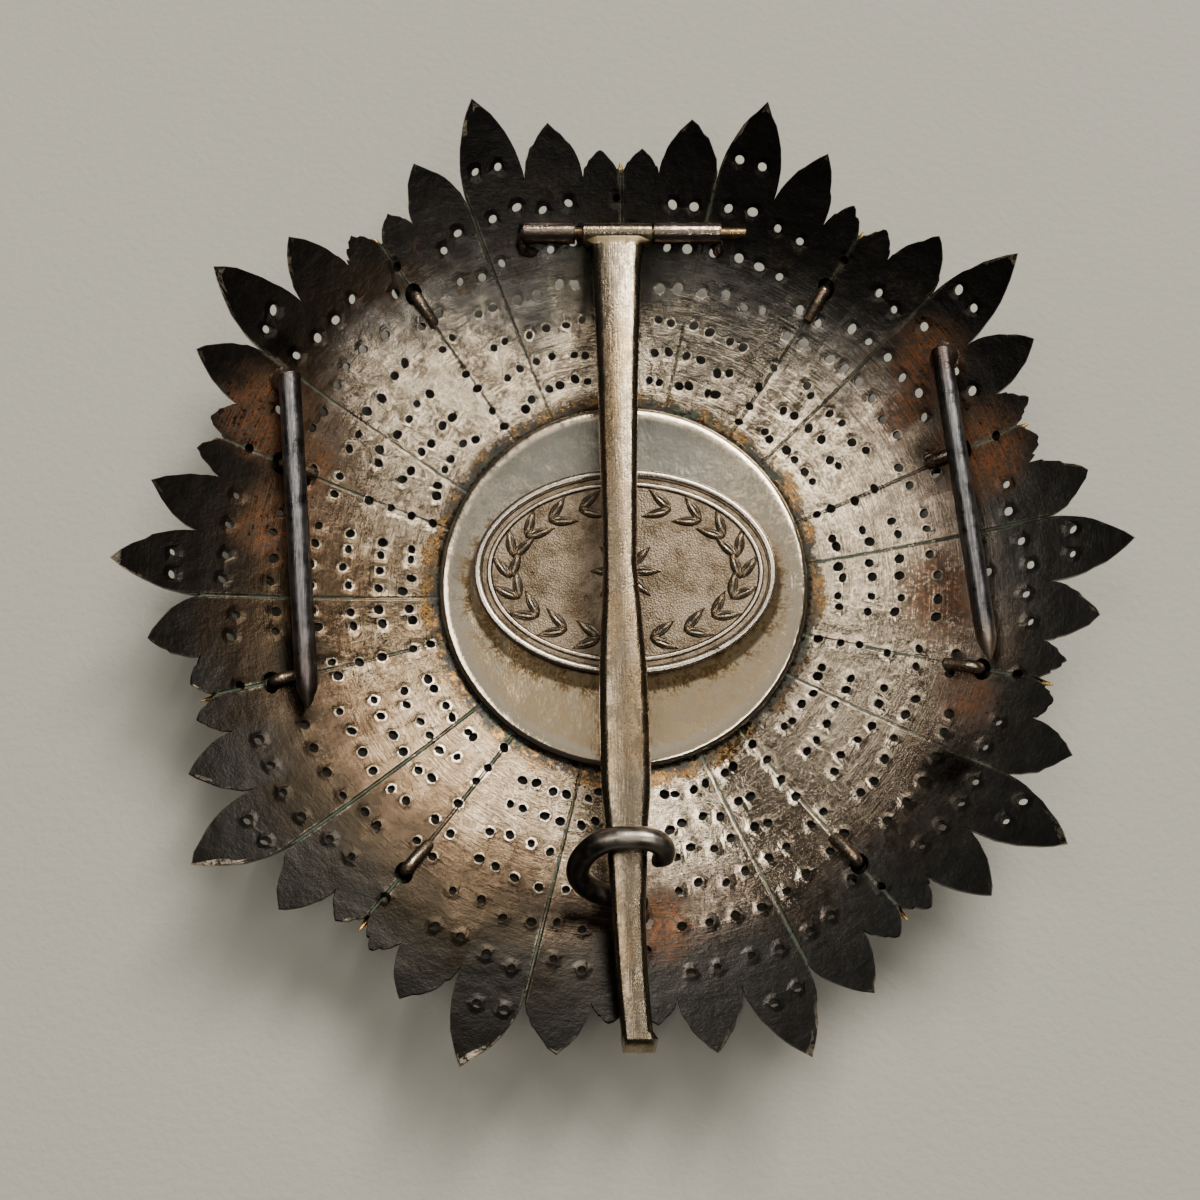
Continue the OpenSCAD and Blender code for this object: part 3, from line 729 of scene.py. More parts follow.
def stud_finish():
    """Fire gilding on the drop, and bare toned silver on the lug, which lies inside the bowl; the lug is
    painted black as shade where it goes down into its slot.
    """
    finish = Finish("stud_gilt_and_silver", Metallic=1.0)
    depth = finish.from_ball()
    inside = depth.rise(BOWL_R + 1.15, BOWL_R + 1.4, 1.0, 0.0)
    blotch = finish.noise(0.9, 4.0, 0.65)
    grain = finish.noise(0.2, 3.0)
    gold = finish.mix(blotch.rise(0.42, 0.68), (0.78, 0.50, 0.17), (0.22, 0.12, 0.05))
    lug = finish.mix((blotch * 0.6 + grain * 0.4).rise(0.42, 0.56), (0.56, 0.46, 0.35), (0.15, 0.10, 0.065))
    # Painted shade: the lug turns black where it goes down into its slot
    lug = finish.mix(depth.rise(BOWL_R - 0.1, BOWL_R), lug, SOOT_AND_SHADE)
    rough = blotch.rise(0.35, 0.7, 0.25, 0.55)
    normal = finish.bump(grain, 0.02, finish.bump(blotch, 0.05))
    return finish.shade(Base_Color=finish.mix(inside, gold, lug), Roughness=rough, Normal=normal)


# Share of the drop's length and of its width, from its inner point to its outer one
DROP_SWELL = (
    (0.0, 0.1), (0.06, 0.35), (0.16, 0.68), (0.3, 0.93), (0.42, 1.0), (0.56, 0.9), (0.74, 0.62),
    (0.9, 0.28), (1.0, 0.06),
)
# Place along and over the plate of the lug's middle, from the back of the drop to its cut end
LUG_FOLD = (
    (-0.2, -0.9), (-0.2, 0.1), (-0.32, 0.42), (-0.65, 0.64), (-1.2, 0.66), (-1.85, 0.62), (-2.5, 0.56),
    (-3.0, 0.52), (-3.2, 0.5),
)


def stud(k):
    bm = bmesh.new()
    seat = placed(spread(PITCH * k, 0), LUG_R)
    lie = Matrix.Rotation(math.pi / 2, 4, "X")
    drop = [
        seat @ Matrix.Translation((0, DROP_L * (share - DROP_MIDDLE), -WALL - DROP_GAP)) @ lie
        @ Matrix.Diagonal((DROP_W / 2 * width, DROP_W * DROP_THICK * width, 1, 1))
        for share, width in DROP_SWELL
    ]
    swept(bm, round_outline(16), drop)
    luck = random.Random(k)
    path = [Vector((0, -WALL, -WALL)), Vector((0, 0, -0.1)), Vector((0, 0, 0.04))]
    if is_bent(k):
        aside = luck.uniform(-0.09, 0.09)
        path = [Vector((aside * y, y * luck.uniform(0.97, 1.03), z)) for y, z in LUG_FOLD]
    radii = [LUG_W / 2 * luck.uniform(0.9, 1.04) for _ in path]
    radii[-1] *= 0.75
    swept(bm, round_outline(12), [seat @ station for station in wire_stations(path, radii)])
    return bm


stud_metal = stud_finish()
for k in range(len(GROUPS)):
    finished(f"stud_{k + 1:02}", stud(k), (stud_metal,), "star", "gilt", f"valley_stud_{k + 1:02}")


# The front medallion, on whose rim the star lies, and the round cover that closes the back over it.
# The cover is sheet silver, spun flat with a rolled edge and soldered down; it was wiped more than the rest.
COVER_Z = 4.311
# Radius and height above the cover's underside, from its middle over the rolled edge and back under it
COVER_PROFILE = (
    (0.001, 0.74), (6.0, 0.745), (11.0, 0.75), (13.6, 0.76), (14.6, 0.80), (15.2, 0.86), (15.6, 0.87),
    (15.9, 0.80), (16.08, 0.64), (16.15, 0.42), (16.08, 0.16), (15.9, 0.02), (15.2, 0.0), (8.0, 0.0),
    (0.001, 0.0),
)
COVER_DENTS = ((0.025, 5.0), (0.012, 1.9))


def spun_cover():
    bm = bmesh.new()
    verts = [bm.verts.new((r, 0, COVER_Z + z)) for r, z in COVER_PROFILE]
    edges = [bm.edges.new(pair) for pair in zip(verts, verts[1:])]
    bmesh.ops.spin(
        bm, geom=verts + edges, axis=(0, 0, 1), cent=(0, 0, 0), steps=144, angle=math.tau, use_merge=True,
    )
    bmesh.ops.remove_doubles(bm, verts=bm.verts, dist=0.003)
    bmesh.ops.recalc_face_normals(bm, faces=bm.faces)
    for vert in bm.verts:
        vert.co.z += dents(vert.co, COVER_DENTS)
    return bm


def cover_silver():
    """Rubbed silver with grey bloom, warm toning round the plaque and low down, painted sheen on the east
    side, a bright edge that is worn and painted as a highlight, and a painted shadow at the plaque's foot.
    """
    finish = Finish("cover_silver", Metallic=1.0)
    y = finish.axis("Y")
    r = finish.radius()
    off_plaque = finish.radius(0.7, 1.0)
    clouds = finish.noise(5.5, 4.0, 0.6)
    blotch = finish.noise(1.1, 5.0, 0.7)
    grain = finish.noise(0.28, 3.0, 0.65)
    wiped = finish.noise(1.0, 3.0, 0.6, finish.stretched(9.15, 0.65, 1.15))
    bloom = (blotch * 0.5 + grain * 0.6 + (y - 6.0) * 0.01).rise(0.48, 0.64)
    dim = (clouds * 0.6 + blotch * 0.5 + y * 0.012).rise(0.52, 0.75)
    # Painted sheen: lighter towards the east side, where the room's light is mirrored
    east = (finish.axis("X") * 0.05 + blotch * 0.6).rise(0.55, 1.0)
    warm = (clouds + blotch * 0.6 - y * 0.045).rise(0.5, 1.35) + off_plaque.rise(9.2, 10.6, 0.3, 0.0)
    warm = warm * (blotch + grain * 0.4).rise(0.4, 0.9, 0.45, 1.0) * r.rise(14.2, 15.2, 1.0, 0.0)
    stain = off_plaque.rise(9.4, 10.8, 1.0, 0.0) * (blotch * 0.8 + grain * 0.6).rise(0.68, 0.78)
    colour = finish.layered(
        finish.mix(bloom, (0.80, 0.72, 0.59), (0.24, 0.225, 0.19)),
        (dim * 0.6, (0.23, 0.225, 0.20)),
        # Painted sheen on the east side
        (east * 0.6, BRIGHT),
        (warm.capped(0.85), (0.62, 0.46, 0.26)),
        (stain, (0.13, 0.07, 0.022)),
        # The rolled edge is worn bright, and lightened further as a painted highlight
        (r.rise(14.9, 15.3) * blotch.rise(0.3, 0.5), BRIGHT),
        # Painted shadow: a dark line round the plaque's foot
        (off_plaque.rise(9.45, 9.75, 0.85, 0.0), (0.07, 0.045, 0.02)),
        (r.rise(15.95, 16.1) * 0.85, SOOT_AND_SHADE),
    )
    rough = bloom * 0.12 + warm * 0.06 + wiped * 0.06 + 0.1
    normal = finish.bump(wiped, 0.005, finish.bump(clouds, 0.12))
    normal = finish.bump(grain, 0.008, normal)
    return finish.shade(Base_Color=colour, Roughness=rough, Normal=normal)


def medallion_silver():
    """The front has toned unevenly, and its rim is worn bright where the star lies on it."""
    finish = Finish("medallion_silver", Metallic=1.0)
    blotch = finish.noise(2.4, 5.0, 0.65)
    grain = finish.noise(0.35, 3.0, 0.6)
    low = finish.axis("Z").rise(0.05, 0.4, 1.0, 0.0)
    colour = finish.mix((blotch * 0.7 + grain * 0.4).rise(0.42, 0.66), (0.36, 0.32, 0.28), (0.12, 0.1, 0.09))
    colour = finish.mix(low * grain.rise(0.3, 0.6), colour, BRIGHT)
    return finish.shade(
        Base_Color=colour, Roughness=blotch.rise(0.3, 0.7, 0.25, 0.45), Normal=finish.bump(grain, 0.015),
    )


finished("spun_cover", spun_cover(), (cover_silver(),), "star", "polished_silver", "back_cover")


def refinished(node, material):
    """Gives a solid that keeps its shape its own finish."""
    solid = bpy.data.objects[node]
    solid.data.materials.clear()
    solid.data.materials.append(material)


refinished("medallion", medallion_silver())


# The plaque: an oval stamped in a die, with two rims and a wreath, on a stippled ground.
# It is soldered to the round cover and has toned brown in its hollows.
PLAQUE_X = 0.1
PLAQUE_Y = 0.97
PLAQUE_Z = 5.111
PLAQUE_W = 26.4
PLAQUE_L = 18.4
GROUND = 0.45
RELIEF = 0.35
PLAQUE_SIDES = 120
# Inset from the plaque's edge and height of each ring of its profile
PLAQUE_RINGS = (
    (0.0, 0.0), (0.0, 0.55), (0.06, 0.7), (0.2, 0.79), (0.38, 0.8), (0.58, 0.76), (0.72, 0.62), (0.78, 0.46),
    (1.12, 0.45), (1.18, 0.56), (1.28, 0.68), (1.38, 0.7), (1.48, 0.68), (1.58, 0.56), (1.64, 0.45),
    (3.0, 0.44), (5.5, 0.45), (8.6, 0.46),
)
LEAF_PAIRS = 9
LEAF_L = 2.7
LEAF_W = 0.95
LEAF_LEAN = 28
# How far the edge of a leaf is sunk in the ground, and depth and half width of its midrib
LEAF_SINK = 0.02
RIB_H = 0.35
RIB_W = 0.28
# First and last angle of a branch, and its distance from the plaque's edge
BRANCH = (-78, 66)
BRANCH_IN = 1.55
PETALS = 8
PETAL_AT = 1.8


def oval_rings(bm):
    """The plaque's body: its outline drawn in ring by ring, then closed above and below."""
    stations = []
    for inset, height in PLAQUE_RINGS:
        size = Matrix.Diagonal((PLAQUE_W / 2 - inset, PLAQUE_L / 2 - inset, 1, 1))
        stations.append(Matrix.Translation((0, 0, height)) @ size)
    swept(bm, round_outline(PLAQUE_SIDES), stations)


def leaf(bm, seat):
    """A domed leaf with a sunk midrib, as a small grid bent to shape."""
    made = bmesh.ops.create_grid(bm, x_segments=8, y_segments=6, size=1)["verts"]
    for vert in made:
        t, s = (vert.co.x + 1) / 2, vert.co.y
        half = LEAF_W / 2 * math.sin(math.pi * t ** 0.8)
        dome = (1 - s * s) ** 0.5 * math.sin(math.pi * min(max(t, 0.02), 0.98)) ** 0.4
        rib = RIB_H * max(0.0, 1 - abs(s) / RIB_W) * (t < 0.9)
        vert.co = Vector((LEAF_L * (t - 0.5), s * half, RELIEF * (dome - rib) - LEAF_SINK))
    bmesh.ops.transform(bm, matrix=seat, verts=made)


def wreath(bm):
    """Two branches of paired leaves, and a rosette of petals round a small boss."""
    branch_w = PLAQUE_W / 2 - BRANCH_IN - 0.6 * LEAF_L
    branch_l = PLAQUE_L / 2 - BRANCH_IN - 0.6 * LEAF_L
    beside_stem = Matrix.Translation((LEAF_L / 2, 0, 0))
    for side in (1, -1):
        mirror = Matrix.Diagonal((side, 1, 1, 1))
        for i in range(LEAF_PAIRS):
            a = math.radians(BRANCH[0] + (BRANCH[1] - BRANCH[0]) * i / (LEAF_PAIRS - 1))
            stem = Matrix.Translation((branch_w * math.cos(a), branch_l * math.sin(a), GROUND))
            heading = math.atan2(branch_l * math.cos(a), -branch_w * math.sin(a))
            for lean in (-LEAF_LEAN, LEAF_LEAN):
                turn = Matrix.Rotation(heading + math.radians(lean), 4, "Z")
                leaf(bm, mirror @ stem @ turn @ beside_stem)
    middle = Matrix.Translation((0, 0, GROUND))
    for i in range(PETALS):
        turn = Matrix.Rotation(math.tau * i / PETALS, 4, "Z")
        leaf(bm, middle @ turn @ Matrix.Translation((PETAL_AT, 0, 0)))
    boss = middle @ Matrix.Diagonal((1, 1, 0.8, 1))
    bmesh.ops.create_uvsphere(bm, u_segments=16, v_segments=10, radius=LEAF_W / 2, matrix=boss)


def plaque_silver():
    """Brown in the stippled ground and the hollows, and worn bright on the rims and the leaves."""
    finish = Finish("plaque_silver", Metallic=1.0)
    height = finish.axis("Z") - PLAQUE_Z
    blotch = finish.noise(2.2, 5.0, 0.68)
    grain = finish.noise(0.25, 4.0, 0.7)
    stipple = finish.cells(0.17)
    ground = finish.mix(blotch.rise(0.38, 0.66), (0.20, 0.155, 0.11), (0.09, 0.064, 0.04))
    ground = finish.mix(stipple.rise(0.1, 0.6, 0.25, 0.0), ground, CREAM)
    rubbed = (height + (grain - 0.5) * 0.25).rise(0.52, 0.68)
    colour = finish.mix(rubbed, ground, (0.58, 0.50, 0.40))
    foot = (height.rise(0.45, 0.5, 0.0, 1.0) * height.rise(0.5, 0.6, 1.0, 0.0)) * blotch.rise(0.4, 0.6)
    colour = finish.mix(foot * 0.8, colour, (0.05, 0.035, 0.02))
    pits = (blotch + grain * 0.5).rise(0.92, 1.0)
    colour = finish.mix(pits, colour, SOOT_AND_SHADE)
    rough = rubbed * -0.18 + blotch * 0.12 + 0.38
    normal = finish.bump(stipple * (1 - rubbed), -0.035, finish.bump(blotch, 0.05))
    normal = finish.bump(grain, 0.015, normal)
    return finish.shade(Base_Color=colour, Roughness=rough, Normal=normal)


bm = bmesh.new()
oval_rings(bm)
wreath(bm)
bmesh.ops.translate(bm, vec=(PLAQUE_X, PLAQUE_Y, PLAQUE_Z), verts=bm.verts)
finished("stamped_plaque", bm, (plaque_silver(),), "star", "toned_silver", "oval_plaque")


# The hinge's fixed half: two drawn tubes soldered on their pads, and the rod that was slid through
# them and the knuckle, left a little long on the right. Grey solder was flooded round the tubes' ends.
LEFT_TUBE_X = -6.55
RIGHT_TUBE_X = 5.47
# Place and half sizes of each lump of solder
TUBE_SOLDER = (
    ((-8.85, 29.6, 10.1), (0.42, 1.2, 0.85)), ((-8.4, 29.0, 9.3), (0.8, 0.45, 0.35)),
    ((8.2, 29.5, 9.6), (0.5, 0.9, 0.45)),
)


def tube_silver():
    """Lighter along the top and darker underneath as painted shade, with old polish and scale at the cut
    ends.
    """
    finish = Finish("tube_silver", Metallic=1.0)
    z, x = finish.axis("Z"), finish.axis("X")
    blotch = finish.noise(0.9, 4.0, 0.65)
    drawn = finish.noise(1.0, 3.0, 0.6, finish.stretched(0.5, 8.0, 8.0))
    left_ends = abs(x - LEFT_TUBE_X).rise(1.95, 2.25) * x.rise(-1.0, 0.0, 1.0, 0.0)
    right_ends = abs(x - RIGHT_TUBE_X).rise(2.7, 2.95) * x.rise(0.0, 1.0)
    # Painted shade: darker towards the tubes' undersides
    under = (z + (blotch - 0.5) * 0.8).rise(10.9, 11.9, 1.0, 0.0)
    dirt_and_shade = (left_ends + right_ends) * 0.85 + under
    colour = finish.mix(blotch.rise(0.35, 0.65), (0.46, 0.37, 0.30), (0.22, 0.165, 0.13))
    colour = finish.mix(dirt_and_shade.capped(), colour, (0.045, 0.032, 0.026))
    rough = blotch.rise(0.3, 0.7, 0.14, 0.26) + dirt_and_shade * 0.1
    normal = finish.bump(drawn, 0.02, finish.bump(blotch, 0.03))
    return finish.shade(Base_Color=colour, Roughness=rough, Normal=normal)


def rod_metal():
    """Brass-coloured metal with turning marks, browned in patches."""
    finish = Finish("rod_metal", Metallic=1.0)
    turned = finish.noise(1.0, 3.0, 0.6, finish.stretched(6.0, 1.0, 1.0))
    blotch = finish.noise(0.7, 4.0, 0.65)
    colour = finish.mix(blotch.rise(0.4, 0.65), (0.30, 0.19, 0.09), (0.07, 0.045, 0.03))
    rough = blotch.rise(0.3, 0.7, 0.25, 0.5)
    return finish.shade(Base_Color=colour, Roughness=rough, Normal=finish.bump(turned, 0.02))


def lump(bm, seat, size, seed):
    """An uneven lump of solder, in the seat's frame, with its three half sizes and its own seed."""
    made = bmesh.ops.create_icosphere(bm, subdivisions=4, radius=1)["verts"]
    for vert in made:
        vert.co *= 1 + 0.28 * noise.noise(vert.co * 1.6 + Vector((seed, 0, 0)))
        vert.co *= 1 + 0.12 * noise.noise(vert.co * 5.0 + Vector((0, seed, 0)))
    bmesh.ops.transform(bm, matrix=seat @ Matrix.Diagonal((*size, 1)), verts=made)
    for face in {face for vert in made for face in vert.link_faces}:
        face.material_index = 1


def flooded_solder():
    """Grey solder, pitted where the flux boiled, with soot and rust in its hollows."""
    finish = Finish("flooded_solder", Metallic=0.75)
    blotch = finish.noise(1.0, 5.0, 0.7)
    grain = finish.noise(0.2, 4.0, 0.7)
    soot = (blotch * 0.7 + grain * 0.5).rise(0.45, 0.7)
    colour = finish.mix(soot, (0.17, 0.12, 0.09), (0.04, 0.024, 0.014))
    normal = finish.bump(grain, 0.04, finish.bump(blotch, 0.15))
    return finish.shade(Base_Color=colour, Roughness=blotch.rise(0.3, 0.7, 0.35, 0.65), Normal=normal)


tube_metal = tube_silver()
refinished("hinge_bracket_left", tube_metal)
refinished("hinge_bracket_right", tube_metal)
refinished("hinge_rod", rod_metal())
solder = flooded_solder()
bm = bmesh.new()
for number, (place, size) in enumerate(TUBE_SOLDER):
    lump(bm, Matrix.Translation(place), size, number + 4.0)
finished("hinge_solder", bm, (tube_metal, solder), "star", "silver_fittings")


# The bar pin: a silver bar forged flat, with bevelled edges, a rolled knuckle at the hinge and its
# far end cut square. It turns on the hinge rod and shuts under the catch hook.
HINGE_Y = 29.904
HINGE_Z = 11.282
PIN_RISE = 2.3045
PIN_L = 69.216
PIN_W = 4.0
KNUCKLE_X = -0.6
KNUCKLE_L = 6.05
KNUCKLE_R = 0.95
KNUCKLE_WALL = 0.42
KNUCKLE_BEVEL = 0.08
END_SLOPE = 38
# Share of the bar's length, and its left and right edges in pin widths from the middle of the knuckle
BAR_EDGES = (
    (0.005, -0.72, 0.73), (0.013, -0.7, 0.72), (0.018, -0.57, 0.555), (0.045, -0.545, 0.51),
    (0.096, -0.51, 0.49), (0.2, -0.43, 0.43), (0.33, -0.37, 0.4), (0.433, -0.32, 0.38),
    (0.503, -0.36, 0.5), (0.561, -0.4, 0.585), (0.623, -0.39, 0.63), (0.702, -0.36, 0.65),
    (0.737, -0.285, 0.59), (0.798, -0.21, 0.56), (0.842, -0.17, 0.51), (0.916, -0.075, 0.565),
    (0.975, 0.02, 0.645), (0.984, 0.02, 0.75), (1.0, 0.05, 0.7),
)
# Place across in bar widths and height of each corner of the bar's section
BAR_SECTION = (
    (-0.5, -0.68), (-0.5, 0.1), (-0.49, 0.3), (-0.47, 0.46), (-0.36, 0.67), (-0.31, 0.725), (0.0, 0.74),
    (0.31, 0.725), (0.36, 0.67), (0.47, 0.46), (0.49, 0.3), (0.5, 0.1), (0.5, -0.68), (0.46, -0.75),
    (-0.46, -0.75),
)


def edge_at(share, column):
    """The bar's left (column 1) or right (column 2) edge at a share of its length."""
    for low, high in zip(BAR_EDGES, BAR_EDGES[1:]):
        if share <= high[0]:
            t = (share - low[0]) / (high[0] - low[0])
            return low[column] + (high[column] - low[column]) * t
    return BAR_EDGES[-1][column]


def bar_station(share):
    """The frame of the bar's section at a share of its length, as wide as the bar is there."""
    left, right = (KNUCKLE_X + PIN_W * edge_at(share, column) for column in (1, 2))
    wave = 0.03 * noise.noise(Vector((share * 30, 0, 0)))
    shift = Matrix.Translation(((left + right) / 2 + wave, -share * PIN_L, 0))
    return shift @ Matrix.Rotation(math.pi / 2, 4, "X") @ Matrix.Diagonal((right - left, 1, 1, 1))


def bar_pin():
    """The bar with its far end sloped and blunted, and the knuckle round the hinge."""
    bm = bmesh.new()
    shares = [0.005, 0.009, 0.013, 0.0155, 0.018, 0.03] + [0.045 + 0.0155 * k for k in range(60)]
    stations = [bar_station(share) for share in shares + [0.975, 0.98, 0.984]]
    slope = Matrix.Rotation(-math.radians(END_SLOPE), 4, "X")
    sloped = bar_station(1.0) @ Matrix.Translation((0, 0, -0.5)) @ slope @ Matrix.Diagonal((0.96, 1, 1, 1))
    blunted = sloped @ Matrix.Translation((0, -0.02, 0.06)) @ Matrix.Diagonal((0.9, 0.8, 1, 1))
    swept(bm, [Vector((x, z, 0)) for x, z in BAR_SECTION], stations + [sloped, blunted])
    half = KNUCKLE_L / 2
    bevel = KNUCKLE_R - KNUCKLE_BEVEL
    rows = (
        (-half, KNUCKLE_R - KNUCKLE_WALL), (-half, bevel), (-half + KNUCKLE_BEVEL, KNUCKLE_R),
        (half - KNUCKLE_BEVEL, KNUCKLE_R), (half, bevel), (half, KNUCKLE_R - KNUCKLE_WALL),
    )
    across = Matrix.Translation((KNUCKLE_X, 0, 0)) @ Matrix.Rotation(math.pi / 2, 4, "Y")
    knuckle = [across @ Matrix.Translation((0, 0, z)) @ Matrix.Diagonal((r, r, 1, 1)) for z, r in rows]
    swept(bm, round_outline(32), knuckle)
    rise = Matrix.Translation((0, HINGE_Y, HINGE_Z)) @ Matrix.Rotation(-math.radians(PIN_RISE), 4, "X")
    bmesh.ops.transform(bm, matrix=rise, verts=bm.verts)
    return bm


def bar_silver():
    """Warm toned silver with a fine grey bloom, bright along the bevels, and yellow scale at the neck."""
    finish = Finish("bar_silver", Metallic=1.0)
    y, z = finish.axis("Y"), finish.axis("Z")
    lifted = z - (HINGE_Z + (HINGE_Y - y) * math.tan(math.radians(PIN_RISE)))
    clouds = finish.noise(4.0, 3.0, 0.6, finish.stretched(1.0, 0.35, 1.0))
    blotch = finish.noise(0.9, 5.0, 0.7, finish.stretched(1.0, 0.6, 1.0))
    grain = finish.noise(0.22, 3.0, 0.65)
    drawn = finish.noise(1.0, 3.0, 0.6, finish.stretched(7.0, 0.35, 4.0))
    bloom = (blotch * 0.8 + grain * 0.4).rise(0.48, 0.74)
    before_end = y.rise(-38.9, -38.4)
    scale = (y + (blotch - 0.5) * 1.6).rise(28.5, 28.9) * (y + (blotch - 0.5)).rise(29.2, 29.5, 1.0, 0.0)
    colour = finish.layered(
        finish.mix(bloom, (0.35, 0.28, 0.195), (0.15, 0.122, 0.085)),
        ((drawn * 0.7 + clouds * 0.4).rise(0.5, 0.68, 0.0, 0.65), (0.13, 0.105, 0.075)),
        (clouds.rise(0.45, 0.68, 0.0, 0.7), (0.285, 0.19, 0.10)),
        # Painted shade: the bar's sides and underside are darkened, short of its far end
        (lifted.rise(0.62, 0.25) * before_end * 0.3, (0.12, 0.095, 0.07)),
        (lifted.rise(0.25, 0.0) * before_end * 0.7, (0.11, 0.09, 0.07)),
        (scale * 0.75, (0.25, 0.19, 0.10)),
        ((y + (blotch - 0.5) * 6.0).rise(-14.0, -22.0, 0.0, 0.3), (0.09, 0.075, 0.055)),
        (finish.spot((1.3, -33.0, 14.6), 0.55, grain * 0.4), SOOT_AND_SHADE),
    )
    rough = bloom * 0.14 + scale * 0.3 + 0.17
    normal = finish.bump(drawn, 0.02, finish.bump(blotch, 0.025))
    normal = finish.bump(grain, 0.012, normal)
    return finish.shade(Base_Color=colour, Roughness=rough, Normal=normal)


finished("forged_bar", bar_pin(), (bar_silver(),), "pin", "warm_silver", "main_pin")


# The catch: one length of round wire, bent over the bar and back beside it, its foot soldered to the
# plate. The bar springs sideways out of its open end.
HOOK_R = 0.95
HOOK_TOP = (-22.771, 15.8)
HOOK_LEAN = 44
# Across the bar and down the leaning plane of the hook, from its free end over the bar to its foot
HOOK_BENDS = (
    (2.35, -2.55), (2.85, -1.85), (2.88, -1.15), (2.4, -0.45), (1.55, -0.08), (0.5, 0.0), (-1.0, -0.08),
    (-2.35, -0.68), (-3.4, -1.85), (-3.88, -3.2), (-3.7, -4.4), (-2.9, -5.4), (-1.7, -6.1), (-0.2, -6.65),
    (0.85, -7.0),
)
BEND_STEPS = 5


def hook_point(u, v):
    """A place in the leaning plane of the hook."""
    lean = math.radians(HOOK_LEAN)
    return Vector((u, HOOK_TOP[0] + v * math.sin(lean), HOOK_TOP[1] + v * math.cos(lean)))


def smooth_path(points, steps):
    """A path through every point, rounded between them as a bent wire is."""
    path = []
    last = len(points) - 1
    for i in range(last):
        before, start, end, after = (points[min(max(j, 0), last)] for j in (i - 1, i, i + 1, i + 2))
        for k in range(steps):
            t = k / steps
            path.append(
                start + (end - before) * (t / 2) + (before * 2 - start * 5 + end * 4 - after) * (t * t / 2)
                + (start * 3 - before - end * 3 + after) * (t ** 3 / 2)
            )
    return path + [points[-1]]


def hook_wire():
    """The bent wire with its rounded free end, and its foot in a lump of solder."""
    bends = smooth_path([hook_point(u, v) for u, v in HOOK_BENDS], BEND_STEPS)
    inwards = (bends[1] - bends[0]).normalized()
    path = [bends[0] - inwards * HOOK_R * share for share in (0.3, 0.2)] + bends
    radii = [0.3, 0.42] + [min(0.52 + 0.1 * k, 1.0) for k in range(len(bends))]
    foot = on_bowl(*ROOTS["hook"])
    path += [path[-1] + (foot - path[-1]) * share for share in (0.3, 0.6, 0.9, 1.25)]
    radii += [1.0, 1.0, 1.1, 0.6]
    bm = bmesh.new()
    swept(bm, round_outline(20), wire_stations(path, [HOOK_R * share for share in radii]))
    lump(bm, placed(*ROOTS["hook"]) @ Matrix.Translation((0, 0, 0.05)), (1.5, 1.4, 0.35), 3.0)
    return bm


def dark_wire():
    """Wire that went black in the fire and was never cleaned, lighter along its top: rubbed a little there,
    and lit as a painted highlight.
    """
    finish = Finish("dark_wire", Metallic=1.0)
    blotch = finish.noise(1.4, 4.0, 0.65)
    grain = finish.noise(0.25, 3.0, 0.6)
    # Painted highlight along the top of the wire, over a little wear
    rubbed = (finish.axis("Z") + (blotch - 0.5) * 1.5).rise(15.6, 16.8)
    colour = finish.mix(blotch.rise(0.35, 0.7), (0.055, 0.048, 0.045), (0.11, 0.085, 0.07))
    colour = finish.mix(rubbed * 0.6, colour, (0.45, 0.40, 0.34))
    rough = blotch.rise(0.3, 0.7, 0.26, 0.42) + grain * 0.05
    normal = finish.bump(grain, 0.012, finish.bump(blotch, 0.05))
    return finish.shade(Base_Color=colour, Roughness=rough, Normal=normal)


finished("hook_wire", hook_wire(), (dark_wire(), solder), "star", "dark_wire", "catch_hook")


# The two prongs: steel wires, drawn to points and soldered into the plate at an elbow.
# They go into the coat's cloth and keep the star from turning.
PRONG_H = 2.3
ELBOW = 0.85
POINT_L = 2.0
# Heading in degrees, length and radius of the wire of each prong
PRONGS = {"left": (175.5, 27.8, 0.95), "right": (173.2, 26.4, 0.875)}
# Distance from the tip, and share of the wire's radius, along the drawn point
POINT = ((0.0, 0.05), (0.12, 0.14), (0.5, 0.38), (1.0, 0.62), (1.5, 0.83), (POINT_L, 0.97))
# Height over the plate, and share of the wire's radius, from below the elbow down through the plate
FOOT = ((PRONG_H - 0.3, 1.04), (PRONG_H - ELBOW, 1.04), (0.8, 1.04), (0.25, 1.15), (-WALL, 0.6))


def prong_wire(side):
    """The wire from its point along the plate to the elbow, and down to its lump of solder."""
    heading, length, thick = PRONGS[side]
    angle, r = ROOTS[side]
    start = on_bowl(angle, r, PRONG_H)
    turn = math.radians(heading)
    tip = start + Vector((math.sin(turn), math.cos(turn), 0)) * length
    tip.z = bowl_z(tip.xy.length) + PRONG_H
    along = (tip - start).normalized()
    run = (tip - start).length
    path = [tip - along * back for back, _ in POINT]
    radii = [share for _, share in POINT]
    for k in range(1, 22):
        path.append(tip - along * (POINT_L + (run - POINT_L - ELBOW) * k / 21))
        radii.append(1.0 + 0.02 * noise.noise(Vector((k, thick * 10, 0))))
    path.append(start - along * 0.25)
    radii.append(1.02)
    for height, share in FOOT:
        path.append(on_bowl(angle, r, height))
        radii.append(share)
    bm = bmesh.new()
    swept(bm, round_outline(20), wire_stations(path, [thick * share for share in radii]))
    lump(bm, placed(angle, r) @ Matrix.Translation((0, -0.2, 0.05)), (1.15, 1.3, 0.3), heading)
    return bm


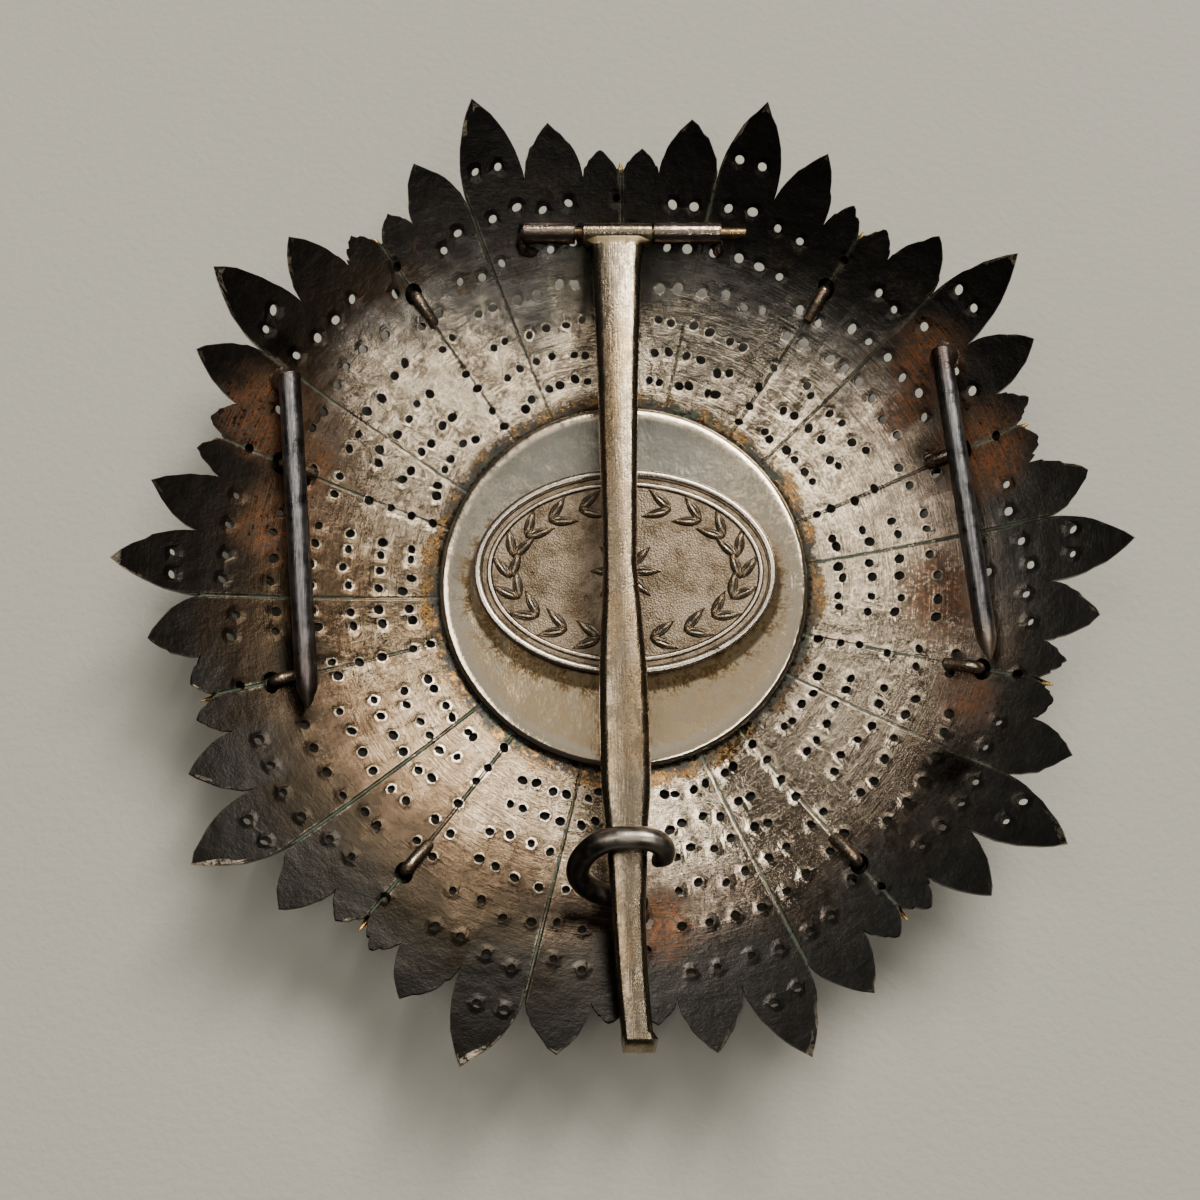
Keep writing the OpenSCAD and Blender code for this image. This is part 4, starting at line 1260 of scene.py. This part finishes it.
def drawn_steel():
    """Grey steel wire with draw marks along it, browned at the root and bright at the point."""
    finish = Finish("drawn_steel", Metallic=1.0)
    y = finish.axis("Y")
    blotch = finish.noise(1.6, 4.0, 0.65)
    grain = finish.noise(0.3, 4.0, 0.65)
    drawn = finish.noise(1.0, 4.0, 0.6, finish.stretched(9.0, 0.25, 9.0))
    marks = (drawn * 0.6 + blotch * 0.5).rise(0.42, 0.68)
    browned = (y + (blotch - 0.5) * 8.0).rise(-3.0, -9.5, 0.0, 0.6)
    browned = browned + (y + (blotch - 0.5) * 3.0).rise(14.0, 18.0) * 0.7
    colour = finish.layered(
        finish.mix(marks, (0.085, 0.083, 0.088), (0.21, 0.20, 0.20)),
        (browned, (0.13, 0.09, 0.075)),
        (finish.spot((-26.4, -11.4, 8.6), 3.6, blotch - 0.5) * 0.8, (0.50, 0.38, 0.29)),
        (finish.spot((30.2, -7.6, 11.4), 3.6, blotch - 0.5) * 0.8, (0.50, 0.38, 0.29)),
    )
    rough = blotch.rise(0.3, 0.7, 0.26, 0.44)
    normal = finish.bump(drawn, 0.02, finish.bump(blotch, 0.05))
    return finish.shade(Base_Color=colour, Roughness=rough, Normal=finish.bump(grain, 0.01, normal))


steel = drawn_steel()
for side in PRONGS:
    finished(f"{side}_prong_wire", prong_wire(side), (steel, solder), "star", "steel_wire", f"prong_{side}")


# The room: a table covered with pale paper, a window's soft light from the upper right with three
# weaker ones to fill it, and a camera held some 15 cm over the table.
camera_data = bpy.data.cameras.new("camera")
camera_data.lens = 51.98
camera_data.sensor_width = 36.0
camera_data.clip_start = 0.002
camera = bpy.data.objects.new("camera", camera_data)
camera.location = Vector((-2.715, -32.077, 152.70)) * MM
camera.rotation_euler = (math.radians(11.71), math.radians(-0.24), 0)
bpy.context.scene.collection.objects.link(camera)
bpy.context.scene.camera = camera

world = bpy.data.worlds.new("room")
world.use_nodes = True
world.node_tree.nodes["Background"].inputs["Color"].default_value = (0.034, 0.033, 0.031, 1)
bpy.context.scene.world = world


def soft_light(name, place, size, power, colour, turn=0.0):
    """A soft box that faces the star, turned about its own axis; its place and size are in metres."""
    light = bpy.data.lights.new(name, "AREA")
    light.shape = "RECTANGLE"
    light.size, light.size_y = size
    light.energy = power
    light.color = colour
    lamp = bpy.data.objects.new(name, light)
    aim = (-Vector(place)).to_track_quat("-Z", "Y").to_matrix() @ Matrix.Rotation(math.radians(turn), 3, "Z")
    lamp.location = place
    lamp.rotation_euler = aim.to_euler()
    bpy.context.scene.collection.objects.link(lamp)


soft_light("window", (0.36, 0.72, 1.1), (0.62, 0.45), 19.5, (1.0, 0.965, 0.895))
soft_light("ceiling", (-0.45, 0.12, 1.25), (0.45, 0.45), 3.3, (1.0, 0.95, 0.86))
soft_light("card", (0.0, 0.12, 1.2), (0.8, 0.6), 0.6, (1.0, 0.93, 0.81))
soft_light("strip", (0.36, -0.23, 1.2), (0.72, 0.045), 2.9, (1.0, 0.96, 0.88), 11.0)


def table_paper():
    """Pale matt paper with a faint tooth."""
    finish = Finish("table_paper", Roughness=0.9)
    shade = finish.mix(finish.noise(60.0, 2.0), (0.46, 0.447, 0.388), (0.515, 0.502, 0.443))
    tooth = finish.bump(finish.noise(0.7, 3.0), 0.12)
    return finish.shade(Base_Color=shade, Normal=tooth)


bm = bmesh.new()
bmesh.ops.create_grid(bm, x_segments=1, y_segments=1, size=1.5)
mesh = bpy.data.meshes.new("table")
bm.to_mesh(mesh)
bm.free()
mesh.materials.append(table_paper())
table = bpy.data.objects.new("table", mesh)
bpy.context.scene.collection.objects.link(table)
